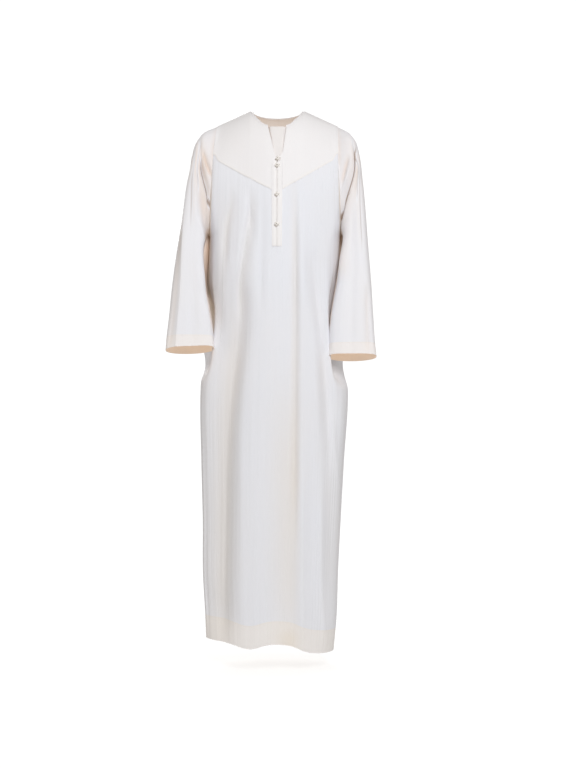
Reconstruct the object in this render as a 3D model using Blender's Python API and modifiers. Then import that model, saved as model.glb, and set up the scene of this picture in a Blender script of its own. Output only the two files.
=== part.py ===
"""Thobe: an ankle-length robe with a round neck, chevron yoke, buttoned slit and straight sleeves.

It hangs hollow, as worn. Metres, +Z up, the front faces -Y, the wearer's right is at -X.
The origin is the middle of the neck opening, level with the two shoulder neck points.
A level is a distance down from the shoulder line; across runs from -1 (right) to +1 (left).
"""

import math
from collections import namedtuple

import bpy
import numpy as np
from mathutils import Vector

# Cloth and seams
CLOTH = 0.0012  # thickness of one wall
SEAM_GAP = 0.0003  # clearance between neighbouring pieces
LAYER = CLOTH + SEAM_GAP  # from the middle of one layer to the middle of the next
STRIP_TOP = 1.5 * CLOTH + 2 * SEAM_GAP  # clear height over a panel's middle, with one layer on it
SLEEVE_INSET = 0.0005  # how far a sleeve's edge stands back at the armhole, where it folds over

# Body
NECK_HALF_WIDTH = 0.0719
NECK_MIDDLE = -0.0015  # x of the neck's middle
FRONT_NECK_DROP = 0.055
BACK_NECK_DROP = 0.012
BINDING_SCALE = 0.93  # inner edge of the neck binding, as a share of the neck opening
SHOULDER_SLOPE = 0.45
SHOULDER_ROUND = 0.12  # level at which the shoulder has rounded into the chest
UNDERARM = 0.340
ARMHOLE_ROWS = 14
YOKE_ROW = 5  # row of the armhole where the yoke ends
YOKE_TIP = 0.238
YOKE_RISE = 0.63  # how fast the chevron rises with x
BACK_YOKE = 0.150
PLACKET_END = 0.377
WAIST = 0.50
SKIRT_ROWS = 9
HEM_DEPTH = 0.062
HEM_ROWS = 2
ARMHOLE_HALF_DEPTH = 0.070
ARMHOLE_SPREAD = 0.17  # how far its opening shapes the cloth above and below its middle
ARMHOLE_REACH, ARMHOLE_EDGE = 3, 24  # the higher, the closer the shape keeps to the side

# The body's outline: x of its right and left side, and its depth to the front and to the back.
Ring = namedtuple("Ring", "level right left front back")
RINGS = [
    Ring(0.00, -0.1650, 0.1620, 0.105, 0.100),
    Ring(0.10, -0.1740, 0.1620, 0.107, 0.103),
    Ring(0.20, -0.1800, 0.1665, 0.122, 0.116),
    Ring(0.34, -0.1860, 0.1700, 0.135, 0.120),
    Ring(0.45, -0.1900, 0.1680, 0.140, 0.117),
    Ring(0.55, -0.1930, 0.1730, 0.142, 0.116),
    Ring(0.66, -0.2040, 0.1850, 0.145, 0.122),
    Ring(0.75, -0.2110, 0.1910, 0.148, 0.128),
    Ring(0.96, -0.2093, 0.1800, 0.151, 0.132),
    Ring(1.12, -0.2055, 0.1710, 0.154, 0.133),
    Ring(1.26, -0.2050, 0.1640, 0.155, 0.134),
    Ring(1.38, -0.1985, 0.1600, 0.155, 0.135),
    Ring(1.47, -0.1950, 0.1520, 0.155, 0.135),
]

# The lower edge of the hem, from the right side seam to the left one.
Hem = namedtuple("Hem", "across front back")
HEM = [
    Hem(-1.00, 1.4347, 1.4347),
    Hem(-0.60, 1.4360, 1.4370),
    Hem(-0.30, 1.4450, 1.4400),
    Hem(0.00, 1.4330, 1.4420),
    Hem(0.30, 1.4370, 1.4450),
    Hem(0.60, 1.4580, 1.4540),
    Hem(1.00, 1.4697, 1.4697),
]

# Where each arm presses the side of the body in, and where the cloth behind it swells out (a
# negative depth): depth, turn from the front, its width ahead and behind, and the levels.
Press = namedtuple("Press", "side depth turn ahead behind start full ease end")
PRESSES = [
    Press(-1, 0.032, 74, 14, 24, 0.40, 0.52, 0.67, 0.78),
    Press(1, 0.046, 68, 13, 22, 0.38, 0.50, 0.67, 0.80),
    Press(-1, -0.026, 113, 15, 14, 0.39, 0.46, 0.60, 0.74),
    Press(1, -0.014, 113, 15, 14, 0.38, 0.45, 0.58, 0.72),
]

# The neck slit: x of its right and left edge.
Slit = namedtuple("Slit", "level right left")
SLIT = [
    Slit(0.050, -0.0275, 0.0237),
    Slit(0.125, -0.0090, 0.0135),
    Slit(0.150, -0.0027, -0.0013),
    Slit(0.400, -0.0027, -0.0013),
]
STRIP_WIDTH = 0.0132

# Columns of the front from the side to the slit, and of the back from side to side.
FRONT_COLUMNS = [1, 0.97, 0.88, 0.75, 0.60, 0.44, 0.42, 0.38, 0.31, 0.18, 0.06]
STRIP_COLUMN = 9  # the outer edge of the strip; the next column is the slit's edge
NECK_COLUMN = 5
BACK_COLUMNS = [1, 0.97, 0.88, 0.75, 0.60, 0.44, 0.42, 0.36, 0.20, 0]
NECK_FULLNESS = 0.68  # 0.5 gives the neck an elliptic outline, more a pointed one

# Folds, as straight lines seen from the front or back: x and level of both ends, the width of
# either side, and the depth, which is negative for a trough and positive for a ridge.
Fold = namedtuple("Fold", "face x1 level1 x2 level2 right_width left_width depth")
FOLDS = [
    Fold(-1, -0.118, 0.23, -0.158, 0.42, 0.022, 0.022, -0.008),
    Fold(-1, -0.081, 0.25, -0.105, 0.73, 0.024, 0.022, -0.014),
    Fold(-1, -0.105, 0.73, -0.150, 1.30, 0.040, 0.022, -0.018),
    Fold(-1, -0.079, 0.74, -0.106, 1.44, 0.018, 0.022, 0.009),
    Fold(-1, 0.045, 0.24, 0.050, 1.44, 0.024, 0.018, -0.011),
    Fold(-1, 0.088, 0.40, 0.130, 1.10, 0.024, 0.016, -0.015),
    Fold(-1, 0.132, 0.76, 0.166, 1.02, 0.018, 0.014, 0.010),
    Fold(-1, 0.107, 0.94, 0.125, 1.44, 0.016, 0.018, 0.008),
    Fold(1, -0.085, 0.20, -0.110, 1.40, 0.026, 0.022, -0.014),
    Fold(1, -0.030, 0.30, -0.045, 1.44, 0.026, 0.024, 0.010),
    Fold(1, 0.020, 0.22, 0.012, 1.42, 0.024, 0.026, -0.013),
    Fold(1, 0.080, 0.24, 0.095, 1.44, 0.022, 0.026, -0.014),
    Fold(1, 0.125, 0.50, 0.120, 1.44, 0.024, 0.022, 0.009),
]
FOLD_FADE = 0.10  # length over which a fold begins and ends

# Each sleeve's sections: its outer and inner edge, its middle and half depth from front to back,
# and how far slack cloth behind the arm hangs in towards the body.
Section = namedtuple("Section", "outer_x outer_z inner_x inner_z middle_y half_depth slack")
SLEEVES = {
    "right": [
        Section(-0.2000, -0.0600, -0.1925, -0.3385, 0.000, 0.0750, 0.0000),
        Section(-0.2225, -0.0880, -0.1940, -0.3440, -0.001, 0.0770, 0.0050),
        Section(-0.2330, -0.1200, -0.1955, -0.3480, -0.003, 0.0780, 0.0100),
        Section(-0.2430, -0.1800, -0.1970, -0.3530, -0.006, 0.0785, 0.0150),
        Section(-0.2532, -0.2420, -0.1990, -0.3600, -0.010, 0.0780, 0.0180),
        Section(-0.2735, -0.3590, -0.2030, -0.3900, -0.020, 0.0740, 0.0190),
        Section(-0.2870, -0.4630, -0.1975, -0.4720, -0.036, 0.0620, 0.0080),
        Section(-0.2970, -0.5700, -0.1835, -0.5700, -0.054, 0.0480, 0.0000),
        Section(-0.3030, -0.6230, -0.1755, -0.6230, -0.064, 0.0400, 0.0000),
        Section(-0.3055, -0.6560, -0.1715, -0.6510, -0.068, 0.0370, 0.0000),
    ],
    "left": [
        Section(0.1960, -0.0640, 0.1765, -0.3385, 0.000, 0.0750, 0.0000),
        Section(0.2120, -0.0860, 0.1780, -0.3440, -0.001, 0.0770, 0.0030),
        Section(0.2220, -0.1200, 0.1790, -0.3480, -0.003, 0.0780, 0.0050),
        Section(0.2300, -0.1800, 0.1800, -0.3530, -0.006, 0.0785, 0.0070),
        Section(0.2372, -0.2420, 0.1805, -0.3600, -0.010, 0.0780, 0.0080),
        Section(0.2460, -0.3590, 0.1760, -0.3900, -0.022, 0.0740, 0.0070),
        Section(0.2550, -0.4700, 0.1600, -0.4780, -0.040, 0.0620, 0.0030),
        Section(0.2610, -0.5700, 0.1440, -0.5730, -0.058, 0.0480, 0.0000),
        Section(0.2645, -0.6400, 0.1395, -0.6420, -0.068, 0.0400, 0.0000),
        Section(0.2670, -0.6730, 0.1375, -0.6740, -0.071, 0.0370, 0.0000),
    ],
}
CUFF_RINGS = 1  # rings covered by the cuff's doubled edge
CUFF_TILT = 0.010  # how much lower the back of the cuff hangs than its front
SLACK_FULLNESS = 0.7  # the lower, the squarer the slack corner behind the arm

# The valley from the shoulder tip to the underarm, seen from the front.
CREASES = {
    "right": Fold(-1, -0.2130, 0.110, -0.1860, 0.300, 0.012, 0.026, -0.016),
    "left": Fold(-1, 0.2080, 0.110, 0.1720, 0.300, 0.026, 0.012, -0.016),
}

# Buttons and loops
Button = namedtuple("Button", "x level")
BUTTONS = [
    Button(0.0000, 0.1460),
    Button(-0.0020, 0.1640),
    Button(-0.0025, 0.2417),
    Button(-0.0030, 0.3220),
]
BUTTON_RADIUS = 0.0055
BUTTON_FLATTENING = 0.9
BUTTON_HEIGHT = 0.0078  # from the strip to the middle of the knot
BUTTON_FOOT_ANGLE = -71  # degrees below its equator where the knot meets the shank
BUTTON_STEP = 20  # degrees between the knot's rings
SHANK_RADIUS = 0.0012
SHANK_SHOULDER = 0.0004  # drop from the knot's last ring to the shank
BUTTON_SIDES = 10
LOOP_RADIUS = 0.0048
LOOP_CORD = 0.0008  # radius of the loop's cord
LOOP_REACH = 0.0085  # from the shank to the sewn ends of the loop's legs
LOOP_LEG_OFFSET = 0.0028  # of each leg's end from the middle of the loop
LOOP_ARC = (50, 311, 26)  # degrees: start, end and step of the bow round the shank

# Colours: linear RGB, roughness
FINISHES = {
    "single": ((0.80, 0.79, 0.82), 0.62),
    "double": ((0.86, 0.82, 0.79), 0.60),
    "binding": ((0.84, 0.76, 0.71), 0.55),
    "cord": ((0.80, 0.74, 0.68), 0.50),
}

Sheet = namedtuple("Sheet", "points quads")


def read(rows, column, at, key="level"):
    """A table's column at any place: a smooth cubic through its rows."""
    places = np.array([getattr(row, key) for row in rows])
    values = np.array([getattr(row, column) for row in rows])
    slopes = np.gradient(values, places)
    at = np.clip(at, places[0], places[-1])
    low = np.clip(np.searchsorted(places, at, side="right") - 1, 0, len(places) - 2)
    step = places[low + 1] - places[low]
    t = (at - places[low]) / step
    return (
        values[low] * (1 + 2 * t) * (1 - t) ** 2
        + values[low + 1] * t**2 * (3 - 2 * t)
        + slopes[low] * step * t * (1 - t) ** 2
        - slopes[low + 1] * step * t**2 * (1 - t)
    )


def smooth_step(value, start, end):
    t = np.clip((value - start) / (end - start), 0, 1)
    return t * t * (3 - 2 * t)


def fold_depth(face, x, level):
    """How far the folds of one face stand out (positive) or in at these places."""
    return sum(one_fold(fold, x, level) for fold in FOLDS if fold.face == face)


def one_fold(fold, x, level):
    """A bell across the fold's line, wider on one side if the table says so, that fades at its ends."""
    run_x, run_level = fold.x2 - fold.x1, fold.level2 - fold.level1
    length = math.hypot(run_x, run_level)
    along = ((x - fold.x1) * run_x + (level - fold.level1) * run_level) / length
    off = ((x - fold.x1) * run_level - (level - fold.level1) * run_x) / length
    width = np.where(off < 0, fold.right_width, fold.left_width)
    ends = smooth_step(along, -FOLD_FADE, FOLD_FADE) * smooth_step(length - along, -FOLD_FADE, FOLD_FADE)
    return fold.depth * np.exp(-((off / width) ** 2)) * ends


def shoulder_drop(x):
    return SHOULDER_SLOPE * np.maximum(0, np.abs(x - NECK_MIDDLE) - NECK_HALF_WIDTH)


def arm_turn(level):
    """The turn round the armhole, from 0 at the shoulder tip to pi at the underarm."""
    return np.arccos(np.clip(1 - 2 * level / UNDERARM, -1, 1))


def torso(face, across, level):
    """Points of the body's cloth; face is -1 for the front and +1 for the back."""
    right, left = read(RINGS, "right", level), read(RINGS, "left", level)
    x = (right + left) / 2 + (left - right) / 2 * across
    rounding = np.sqrt(1 - (1 - np.minimum(level / SHOULDER_ROUND, 1)) ** 2)
    depth = read(RINGS, "front" if face < 0 else "back", level) * rounding
    # The armhole holds the cloth open at the side, and softly so for some way into the chest.
    edge = np.sin(arm_turn(level)) * np.abs(across) ** ARMHOLE_EDGE
    soft = np.exp(-(((level - UNDERARM / 2) / ARMHOLE_SPREAD) ** 2)) * rounding
    edge = edge + soft * (np.abs(across) ** ARMHOLE_REACH - np.abs(across) ** ARMHOLE_EDGE)
    # The crown is flatter at the shoulders and an ellipse from the waist down.
    crown = np.maximum(0, 1 - across**2) ** (0.75 - 0.25 * smooth_step(level, 0.05, WAIST))
    y = ARMHOLE_HALF_DEPTH * edge + depth * crown
    y = y + fold_depth(face, x, level) * smooth_step(1 - np.abs(across), 0.0, 0.12)
    # The arms press the sides in.
    turn = np.degrees(np.arcsin(np.clip(np.abs(across), 0, 1)))
    if face > 0:
        turn = 180 - turn
    for press in PRESSES:
        spread = np.where(turn < press.turn, press.ahead, press.behind)
        amount = press.depth * np.exp(-(((turn - press.turn) / spread) ** 2)) * (press.side * across > 0)
        amount = amount * smooth_step(level, press.start, press.full)
        x = x - press.side * amount * (1 - smooth_step(level, press.ease, press.end))
    z = -level - shoulder_drop(x) * np.clip(1 - level / UNDERARM, 0, 1)
    return np.stack([x, face * y, z], axis=-1)


def level_at(height, x):
    """The level at which the cloth at x is this far below the neck points."""
    drop = shoulder_drop(x)
    return (height - drop) / (1 - drop / UNDERARM)


def body_levels(face, across, x_top):
    """The level of every row, in each column: neck, yoke edge, underarm, placket end, hem."""
    neck_share = FRONT_COLUMNS[NECK_COLUMN]
    drop = FRONT_NECK_DROP if face < 0 else BACK_NECK_DROP
    top = drop * np.maximum(0, 1 - (across / neck_share) ** 2) ** NECK_FULLNESS
    at_armhole = UNDERARM * (1 - np.cos(np.pi * np.arange(ARMHOLE_ROWS + 1) / ARMHOLE_ROWS)) / 2
    edge_level = at_armhole[YOKE_ROW]
    middle = YOKE_TIP - YOKE_RISE * np.abs(x_top) if face < 0 else np.full_like(x_top, BACK_YOKE)
    yoke = level_at(middle, x_top)
    yoke = edge_level + (yoke - edge_level) * smooth_step(1 - np.abs(across), 0, 0.1)
    # Even rows at the neck turn into the armhole's own rows further out.
    inward = np.clip(1 - np.abs(across) / neck_share, 0, 1)[None, :]
    even = np.arange(YOKE_ROW + 1)[:, None] / YOKE_ROW
    share = even * inward + at_armhole[: YOKE_ROW + 1, None] / edge_level * (1 - inward)
    upper = top + share * (yoke - top)
    share = ((at_armhole[YOKE_ROW + 1 :] - edge_level) / (UNDERARM - edge_level))[:, None]
    chest = yoke + share * (UNDERARM - yoke)
    hem = read(HEM, "front" if face < 0 else "back", across, "across")
    share = (np.arange(SKIRT_ROWS + 1) / SKIRT_ROWS)[:, None]
    skirt = PLACKET_END + share * (hem - HEM_DEPTH - PLACKET_END)
    turn_up = hem - HEM_DEPTH * (1 - np.arange(1, HEM_ROWS + 1) / HEM_ROWS)[:, None]
    binding = BINDING_SCALE * top
    return np.vstack([binding, upper, chest, skirt, turn_up])


def body_grid(face):
    """The rows and columns of one face, seen from outside, as an array of points."""
    middle, half = (RINGS[0].left + RINGS[0].right) / 2, (RINGS[0].left - RINGS[0].right) / 2
    columns = np.array(FRONT_COLUMNS if face < 0 else BACK_COLUMNS)
    across = np.concatenate([-columns, columns[::-1] if face < 0 else columns[-2::-1]])
    if face > 0:
        across = across[::-1]
    x_top = middle + half * across
    if face < 0:
        for side, edge, way in slit_columns(len(across)):
            x_top[edge] = getattr(SLIT[-1], side)
            x_top[edge + way] = x_top[edge] + way * STRIP_WIDTH
    levels = body_levels(face, across, x_top)
    shares = np.tile(across, (len(levels), 1))
    inside = np.abs(across) <= FRONT_COLUMNS[NECK_COLUMN] + 1e-6
    shares[0, inside] *= BINDING_SCALE
    if face < 0:
        open_slit(shares, levels)
    return torso(face, shares, levels)


def slit_columns(count):
    """For each side of the slit, its column and the way to the strip's outer column."""
    return (("right", STRIP_COLUMN + 1, -1), ("left", count - STRIP_COLUMN - 2, 1))


def open_slit(shares, levels):
    """Moves the middle columns to the slit's edges and the strips' outer edges."""
    last = ARMHOLE_ROWS + 2  # the row where the strips end
    level = levels[: last + 1, :]
    middle = (read(RINGS, "right", level) + read(RINGS, "left", level)) / 2
    half = (read(RINGS, "left", level) - read(RINGS, "right", level)) / 2
    for side, edge, way in slit_columns(shares.shape[1]):
        for column, offset in ((edge, 0), (edge + way, STRIP_WIDTH)):
            x = np.interp(level[:, column], [s.level for s in SLIT], [getattr(s, side) for s in SLIT])
            shares[: last + 1, column] = (x + way * offset - middle[:, column]) / half[:, column]


def grid_quads(rows, columns, wraps=False):
    """Quads of a grid as point numbers, [row, column, corner], which face outwards."""
    number = np.arange(rows * columns).reshape(rows, columns)
    if wraps:
        number = np.hstack([number, number[:, :1]])
    corners = (number[:-1, :-1], number[1:, :-1], number[1:, 1:], number[:-1, 1:])
    return np.stack(corners, axis=-1)


def sleeve_grid(side, front, back):
    """The sleeve as rings of points, from the armhole's own points down to the cuff."""
    rows = slice(1, ARMHOLE_ROWS + 2)
    if side == "right":
        ahead, behind = front[rows, 0], back[rows, -1]
    else:
        ahead, behind = front[rows, -1], back[rows, 0]
    armhole = np.vstack([ahead, behind[-2:0:-1]])
    turn = np.pi * np.arange(2 * ARMHOLE_ROWS) / ARMHOLE_ROWS
    rings = [armhole]
    for index, row in enumerate(SLEEVES[side]):
        outer, inner = np.array([row.outer_x, row.outer_z]), np.array([row.inner_x, row.inner_z])
        middle, half = (outer + inner) / 2, (outer - inner) / 2
        plane = middle + np.cos(turn)[:, None] * half
        y = row.middle_y - np.sin(turn) * row.half_depth
        inner_back = np.clip(-np.sin(turn), 0, 1) * np.clip(-np.cos(turn), 0, 1)
        toward_body = math.copysign(row.slack, -row.inner_x) * (2 * inner_back) ** SLACK_FULLNESS
        tilt = CUFF_TILT * smooth_step(np.array(index / (len(SLEEVES[side]) - 1)), 0.6, 1.0)
        z = plane[:, 1] + tilt * np.sin(turn)
        ring = np.stack([plane[:, 0] + toward_body, y, z], axis=-1)
        crease = one_fold(CREASES[side], ring[:, 0], -ring[:, 2])
        ring[:, 1] -= crease * np.clip(np.sin(turn), 0, 1)
        rings.append(ring)
    rings = np.array(rings)
    return rings if side == "right" else np.roll(rings[:, ::-1], 1, axis=1)


def triangles(quads):
    quads = quads.reshape(-1, 4)
    return np.vstack([quads[:, [0, 1, 2]], quads[:, [0, 2, 3]]])


def shared_normals(sheets):
    """Outward directions at every point, the same on both sides of each seam."""
    points = np.vstack([sheet.points for sheet in sheets.values()])
    starts = np.cumsum([0] + [len(sheet.points) for sheet in sheets.values()])
    faces = np.vstack([triangles(s.quads) + start for s, start in zip(sheets.values(), starts)])
    _, place = np.unique(np.round(points, 6), axis=0, return_inverse=True)
    place = place.reshape(-1)
    a, b, c = points[faces[:, 0]], points[faces[:, 1]], points[faces[:, 2]]
    area = np.cross(b - a, c - a)
    total = np.zeros((place.max() + 1, 3))
    for corner in range(3):
        np.add.at(total, place[faces[:, corner]], area)
    normals = total[place]
    normals /= np.maximum(np.linalg.norm(normals, axis=1, keepdims=True), 1e-12)
    return {name: normals[starts[i] : starts[i + 1]] for i, name in enumerate(sheets)}


def border_edges(quads):
    """Edges with cloth on one side only, with the cloth on their left."""
    edges = np.vstack([quads[:, [i, (i + 1) % 4]] for i in range(4)])
    present = set(map(tuple, edges))
    return [(a, b) for a, b in map(tuple, edges) if (b, a) not in present]


def drawn_in(points, normals, edges, distance):
    """Moves each border point into its piece, so that both edges beside it keep their distance."""
    inward = {}
    for a, b in edges:
        along = points[b] - points[a]
        across = np.cross((normals[a] + normals[b]) / 2, along)
        across /= np.linalg.norm(across)
        inward.setdefault(a, []).append(across)
        inward.setdefault(b, []).append(across)
    moved = points.copy()
    for number, sides in inward.items():
        first, second = sides[0], sides[-1]
        moved[number] += distance * (first + second) / max(0.4, 1 + first @ second)
    return moved


def finish(name):
    material = bpy.data.materials.get(name)
    if material is None:
        colour, roughness = FINISHES[name]
        material = bpy.data.materials.new(name)
        material.use_nodes = True
        shader = material.node_tree.nodes["Principled BSDF"]
        shader.inputs["Base Color"].default_value = (*colour, 1)
        shader.inputs["Roughness"].default_value = roughness
        shader.inputs["Metallic"].default_value = 0
    return material


def add_object(name, mesh, material, collection):
    mesh.materials.append(finish(material))
    made = bpy.data.objects.new(name, mesh)
    collection.objects.link(made)
    return made


def add_wall(name, sheet, normals, quads, material, collection, lift=0.0, inset=SEAM_GAP / 2):
    """One closed cloth wall over the chosen quads, lifted off its sheet by whole layers."""
    quads = quads.reshape(-1, 4)
    edges = border_edges(quads)
    middle = drawn_in(sheet.points, normals, edges, inset) + normals * lift
    used = np.unique(quads)
    number = np.zeros(len(middle), int)
    number[used] = np.arange(len(used))
    outer = middle[used] + normals[used] * CLOTH / 2
    inner = middle[used] - normals[used] * CLOTH / 2
    count = len(used)
    face = number[triangles(quads)]
    rim = [[(b, a, a + count), (b, a + count, b + count)] for a, b in number[np.array(edges)]]
    faces = face.tolist() + (face[:, ::-1] + count).tolist() + [part for pair in rim for part in pair]
    mesh = bpy.data.meshes.new(name)
    mesh.from_pydata(np.vstack([outer, inner]).tolist(), [], faces)
    mesh.shade_smooth()
    mesh.set_sharp_from_angle(angle=math.radians(50))
    return add_object(name, mesh, material, collection)


def build_cloth(collection):
    """All the cloth pieces; returns the front's points and outward directions for the buttons."""
    grids = {"front": body_grid(-1), "back": body_grid(1)}
    for side in ("right", "left"):
        grids[side] = sleeve_grid(side, grids["front"], grids["back"])
    quads = {name: grid_quads(*grid.shape[:2], wraps=name in SLEEVES) for name, grid in grids.items()}

    columns = grids["front"].shape[1]
    right_edge, left_edge = STRIP_COLUMN + 1, columns - STRIP_COLUMN - 2
    slit_rows = slice(0, ARMHOLE_ROWS + 1)
    bound = {"front": slice(NECK_COLUMN, columns - 1 - NECK_COLUMN), "back": neck_columns()}
    cloth = {name: np.ones(quad.shape[:2], bool) for name, quad in quads.items()}
    cloth["front"][slit_rows, right_edge:left_edge] = False
    for name in ("front", "back"):
        binding = np.zeros_like(cloth[name][0])
        binding[bound[name]] = True
        cloth[name][0] &= binding

    sheets = {name: Sheet(grid.reshape(-1, 3), quads[name][cloth[name]]) for name, grid in grids.items()}
    normals = shared_normals(sheets)

    def wall(name, source, chosen, material, lift=0.0, inset=SEAM_GAP / 2):
        picked = quads[source][chosen & cloth[source]]
        add_wall(name, sheets[source], normals[source], picked, material, collection, lift, inset)

    def region(source, rows=slice(None), cols=slice(None)):
        chosen = np.zeros(quads[source].shape[:2], bool)
        chosen[rows, cols] = True
        return chosen

    panel = slice(1, None)
    yoke_rows = slice(1, YOKE_ROW + 1)
    strip_start, strip_end = YOKE_ROW - 1, ARMHOLE_ROWS + 2
    strip_rows = slice(strip_start, strip_end)
    hem_rows = slice(-HEM_ROWS, None)
    wall("front_panel", "front", region("front", panel), "single")
    wall("back_panel", "back", region("back", panel), "single")
    wall("back_yoke", "back", region("back", yoke_rows), "double", LAYER)
    halves = {"right": (slice(0, right_edge), right_edge - 1), "left": (slice(left_edge, None), left_edge)}
    for side, (half, strip) in halves.items():
        strip_cells = region("front", strip_rows, strip)
        yoke_cells = region("front", yoke_rows, half) & ~strip_cells
        wall(f"front_yoke_{side}", "front", yoke_cells, "double", LAYER)
        wall(f"placket_strip_{side}", "front", strip_cells, "double", LAYER)
    for name in ("front", "back"):
        wall(f"hem_turnup_{name}", name, region(name, hem_rows), "double", -LAYER)
    for side in SLEEVES:
        wall(f"sleeve_{side}", side, region(side), "single", inset=SLEEVE_INSET)
        wall(f"cuff_turnup_{side}", side, region(side, slice(-CUFF_RINGS, None)), "double", -LAYER)

    underlap = quads["front"][1 : strip_end, right_edge - 1 : left_edge + 1]
    middle_normals = filled_normals(normals["front"])
    add_wall("placket_underlap", sheets["front"], middle_normals, underlap, "double", collection, -LAYER)
    add_binding(grids, normals, bound, collection)
    return grids["front"], middle_normals.reshape(grids["front"].shape)


def neck_columns():
    """The back's quads between its two neck points."""
    count = 2 * len(BACK_COLUMNS) - 2
    first = BACK_COLUMNS.index(FRONT_COLUMNS[NECK_COLUMN])
    return slice(first, count - first)


def filled_normals(normals):
    """Outward directions with none missing, for a piece that spans the open slit."""
    lengths = np.linalg.norm(normals, axis=1)
    filled = normals.copy()
    filled[lengths < 0.5] = (0, -1, 0)
    return filled


def add_binding(grids, normals, bound, collection):
    """The bias strip round the neck: two rows taken from the front and the back in turn."""
    columns = grids["front"].shape[1]
    right_edge, left_edge = STRIP_COLUMN + 1, columns - STRIP_COLUMN - 2
    neck = bound["front"]
    runs = [
        ("front", range(left_edge, neck.stop + 1)),
        ("back", range(bound["back"].start + 1, bound["back"].stop)),
        ("front", range(neck.start, right_edge + 1)),
    ]
    rows, ways = [], []
    for row in (0, 1):
        rows.append(np.vstack([grids[name][row, list(run)] for name, run in runs]))
        ways.append(
            np.vstack([normals[name].reshape(grids[name].shape)[row, list(run)] for name, run in runs])
        )
    points, directions = np.array(rows), np.array(ways)
    quads = grid_quads(*points.shape[:2])
    sheet = Sheet(points.reshape(-1, 3), quads)
    add_wall("neck_binding", sheet, directions.reshape(-1, 3), quads, "binding", collection)


def surface_place(grid, normals, x, level):
    """The point and outward direction of the placket at one x and level."""
    row = int(np.argmin(np.abs(-grid[:, STRIP_COLUMN + 1, 2] - level)))
    low = row - 1 if -grid[row, STRIP_COLUMN + 1, 2] > level else row
    first, second = grid[low, STRIP_COLUMN + 1], grid[low + 1, STRIP_COLUMN + 1]
    share = (level + first[2]) / (first[2] - second[2])
    point = first + (second - first) * share
    down = (second - first) / np.linalg.norm(second - first)
    point[0] = x
    outward = np.cross(down, (1, 0, 0))
    return Vector(point), Vector(outward), Vector(down)


def add_button(number, place, collection):
    """A knotted ball on a short shank, turned about the cloth's outward direction."""
    point, outward, _ = place
    turns = [math.radians(angle) for angle in range(90, BUTTON_FOOT_ANGLE, -BUTTON_STEP)]
    rise = BUTTON_RADIUS * BUTTON_FLATTENING
    profile = [(BUTTON_RADIUS * math.cos(a), BUTTON_HEIGHT + rise * math.sin(a)) for a in turns]
    profile[0] = (0, profile[0][1])
    neck = profile[-1][1] - SHANK_SHOULDER
    profile += [(SHANK_RADIUS, neck), (SHANK_RADIUS, STRIP_TOP), (0, STRIP_TOP)]
    mesh = bpy.data.meshes.new(f"button_{number}")
    edges = [(i, i + 1) for i in range(len(profile) - 1)]
    mesh.from_pydata([(r, 0, h) for r, h in profile], edges, [])
    made = add_object(f"button_{number}", mesh, "cord", collection)
    screw = made.modifiers.new("Turn", "SCREW")
    screw.steps = screw.render_steps = BUTTON_SIDES
    screw.use_merge_vertices = True
    screw.merge_threshold = 0.00001
    made.location = point
    made.rotation_mode = "QUATERNION"
    made.rotation_quaternion = outward.to_track_quat("Z", "Y")


def add_loop(number, place, collection):
    """The cord from the left strip round the button's shank and back."""
    point, outward, down = place
    lift = STRIP_TOP + LOOP_CORD
    curve = bpy.data.curves.new(f"loop_{number}", "CURVE")
    curve.dimensions = "3D"
    curve.bevel_depth = LOOP_CORD
    curve.bevel_resolution = 1
    curve.use_fill_caps = True
    bow = [math.radians(angle) for angle in range(*LOOP_ARC)]
    route = [(LOOP_REACH, LOOP_LEG_OFFSET)]
    route += [(LOOP_RADIUS * math.cos(a), LOOP_RADIUS * math.sin(a)) for a in bow]
    route += [(LOOP_REACH, -LOOP_LEG_OFFSET)]
    spline = curve.splines.new("POLY")
    spline.points.add(len(route) - 1)
    sideways = Vector((1, 0, 0))
    for spot, (across, along) in zip(spline.points, route):
        here = point + sideways * across + down * along + outward * lift
        spot.co = (*here, 1)
    curve.materials.append(finish("cord"))
    made = bpy.data.objects.new(f"loop_{number}", curve)
    collection.objects.link(made)


def main():
    for old in list(bpy.data.objects):
        bpy.data.objects.remove(old)
    collection = bpy.data.collections.new("thobe")
    bpy.context.scene.collection.children.link(collection)
    grid, normals = build_cloth(collection)
    for number, button in enumerate(BUTTONS, 1):
        place = surface_place(grid, normals, button.x, button.level)
        add_button(number, place, collection)
        add_loop(number, place, collection)


main()
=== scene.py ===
import math

import bpy
import numpy as np
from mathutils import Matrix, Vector


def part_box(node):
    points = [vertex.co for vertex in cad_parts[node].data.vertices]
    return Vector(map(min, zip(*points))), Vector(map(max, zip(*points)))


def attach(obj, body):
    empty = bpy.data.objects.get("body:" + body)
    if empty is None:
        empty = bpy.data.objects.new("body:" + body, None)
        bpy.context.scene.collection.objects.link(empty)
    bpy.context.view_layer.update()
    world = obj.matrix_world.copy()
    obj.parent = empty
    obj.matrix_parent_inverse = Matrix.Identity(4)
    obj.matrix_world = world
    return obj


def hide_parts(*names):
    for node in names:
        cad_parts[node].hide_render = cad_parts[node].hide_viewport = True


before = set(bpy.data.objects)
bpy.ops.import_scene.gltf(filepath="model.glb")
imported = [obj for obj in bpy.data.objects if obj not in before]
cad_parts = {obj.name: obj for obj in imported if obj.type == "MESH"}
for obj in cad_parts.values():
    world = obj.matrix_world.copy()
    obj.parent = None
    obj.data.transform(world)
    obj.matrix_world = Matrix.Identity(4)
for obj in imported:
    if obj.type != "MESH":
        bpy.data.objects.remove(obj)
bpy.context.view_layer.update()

# A thobe, hanging hollow as worn. Metres, the front faces -Y and the wearer's right is at -X.
# A level is a distance down from the shoulder line, and across runs from -1 (right) to +1 (left).
# A face is -1 for the front and +1 for the back.

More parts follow.
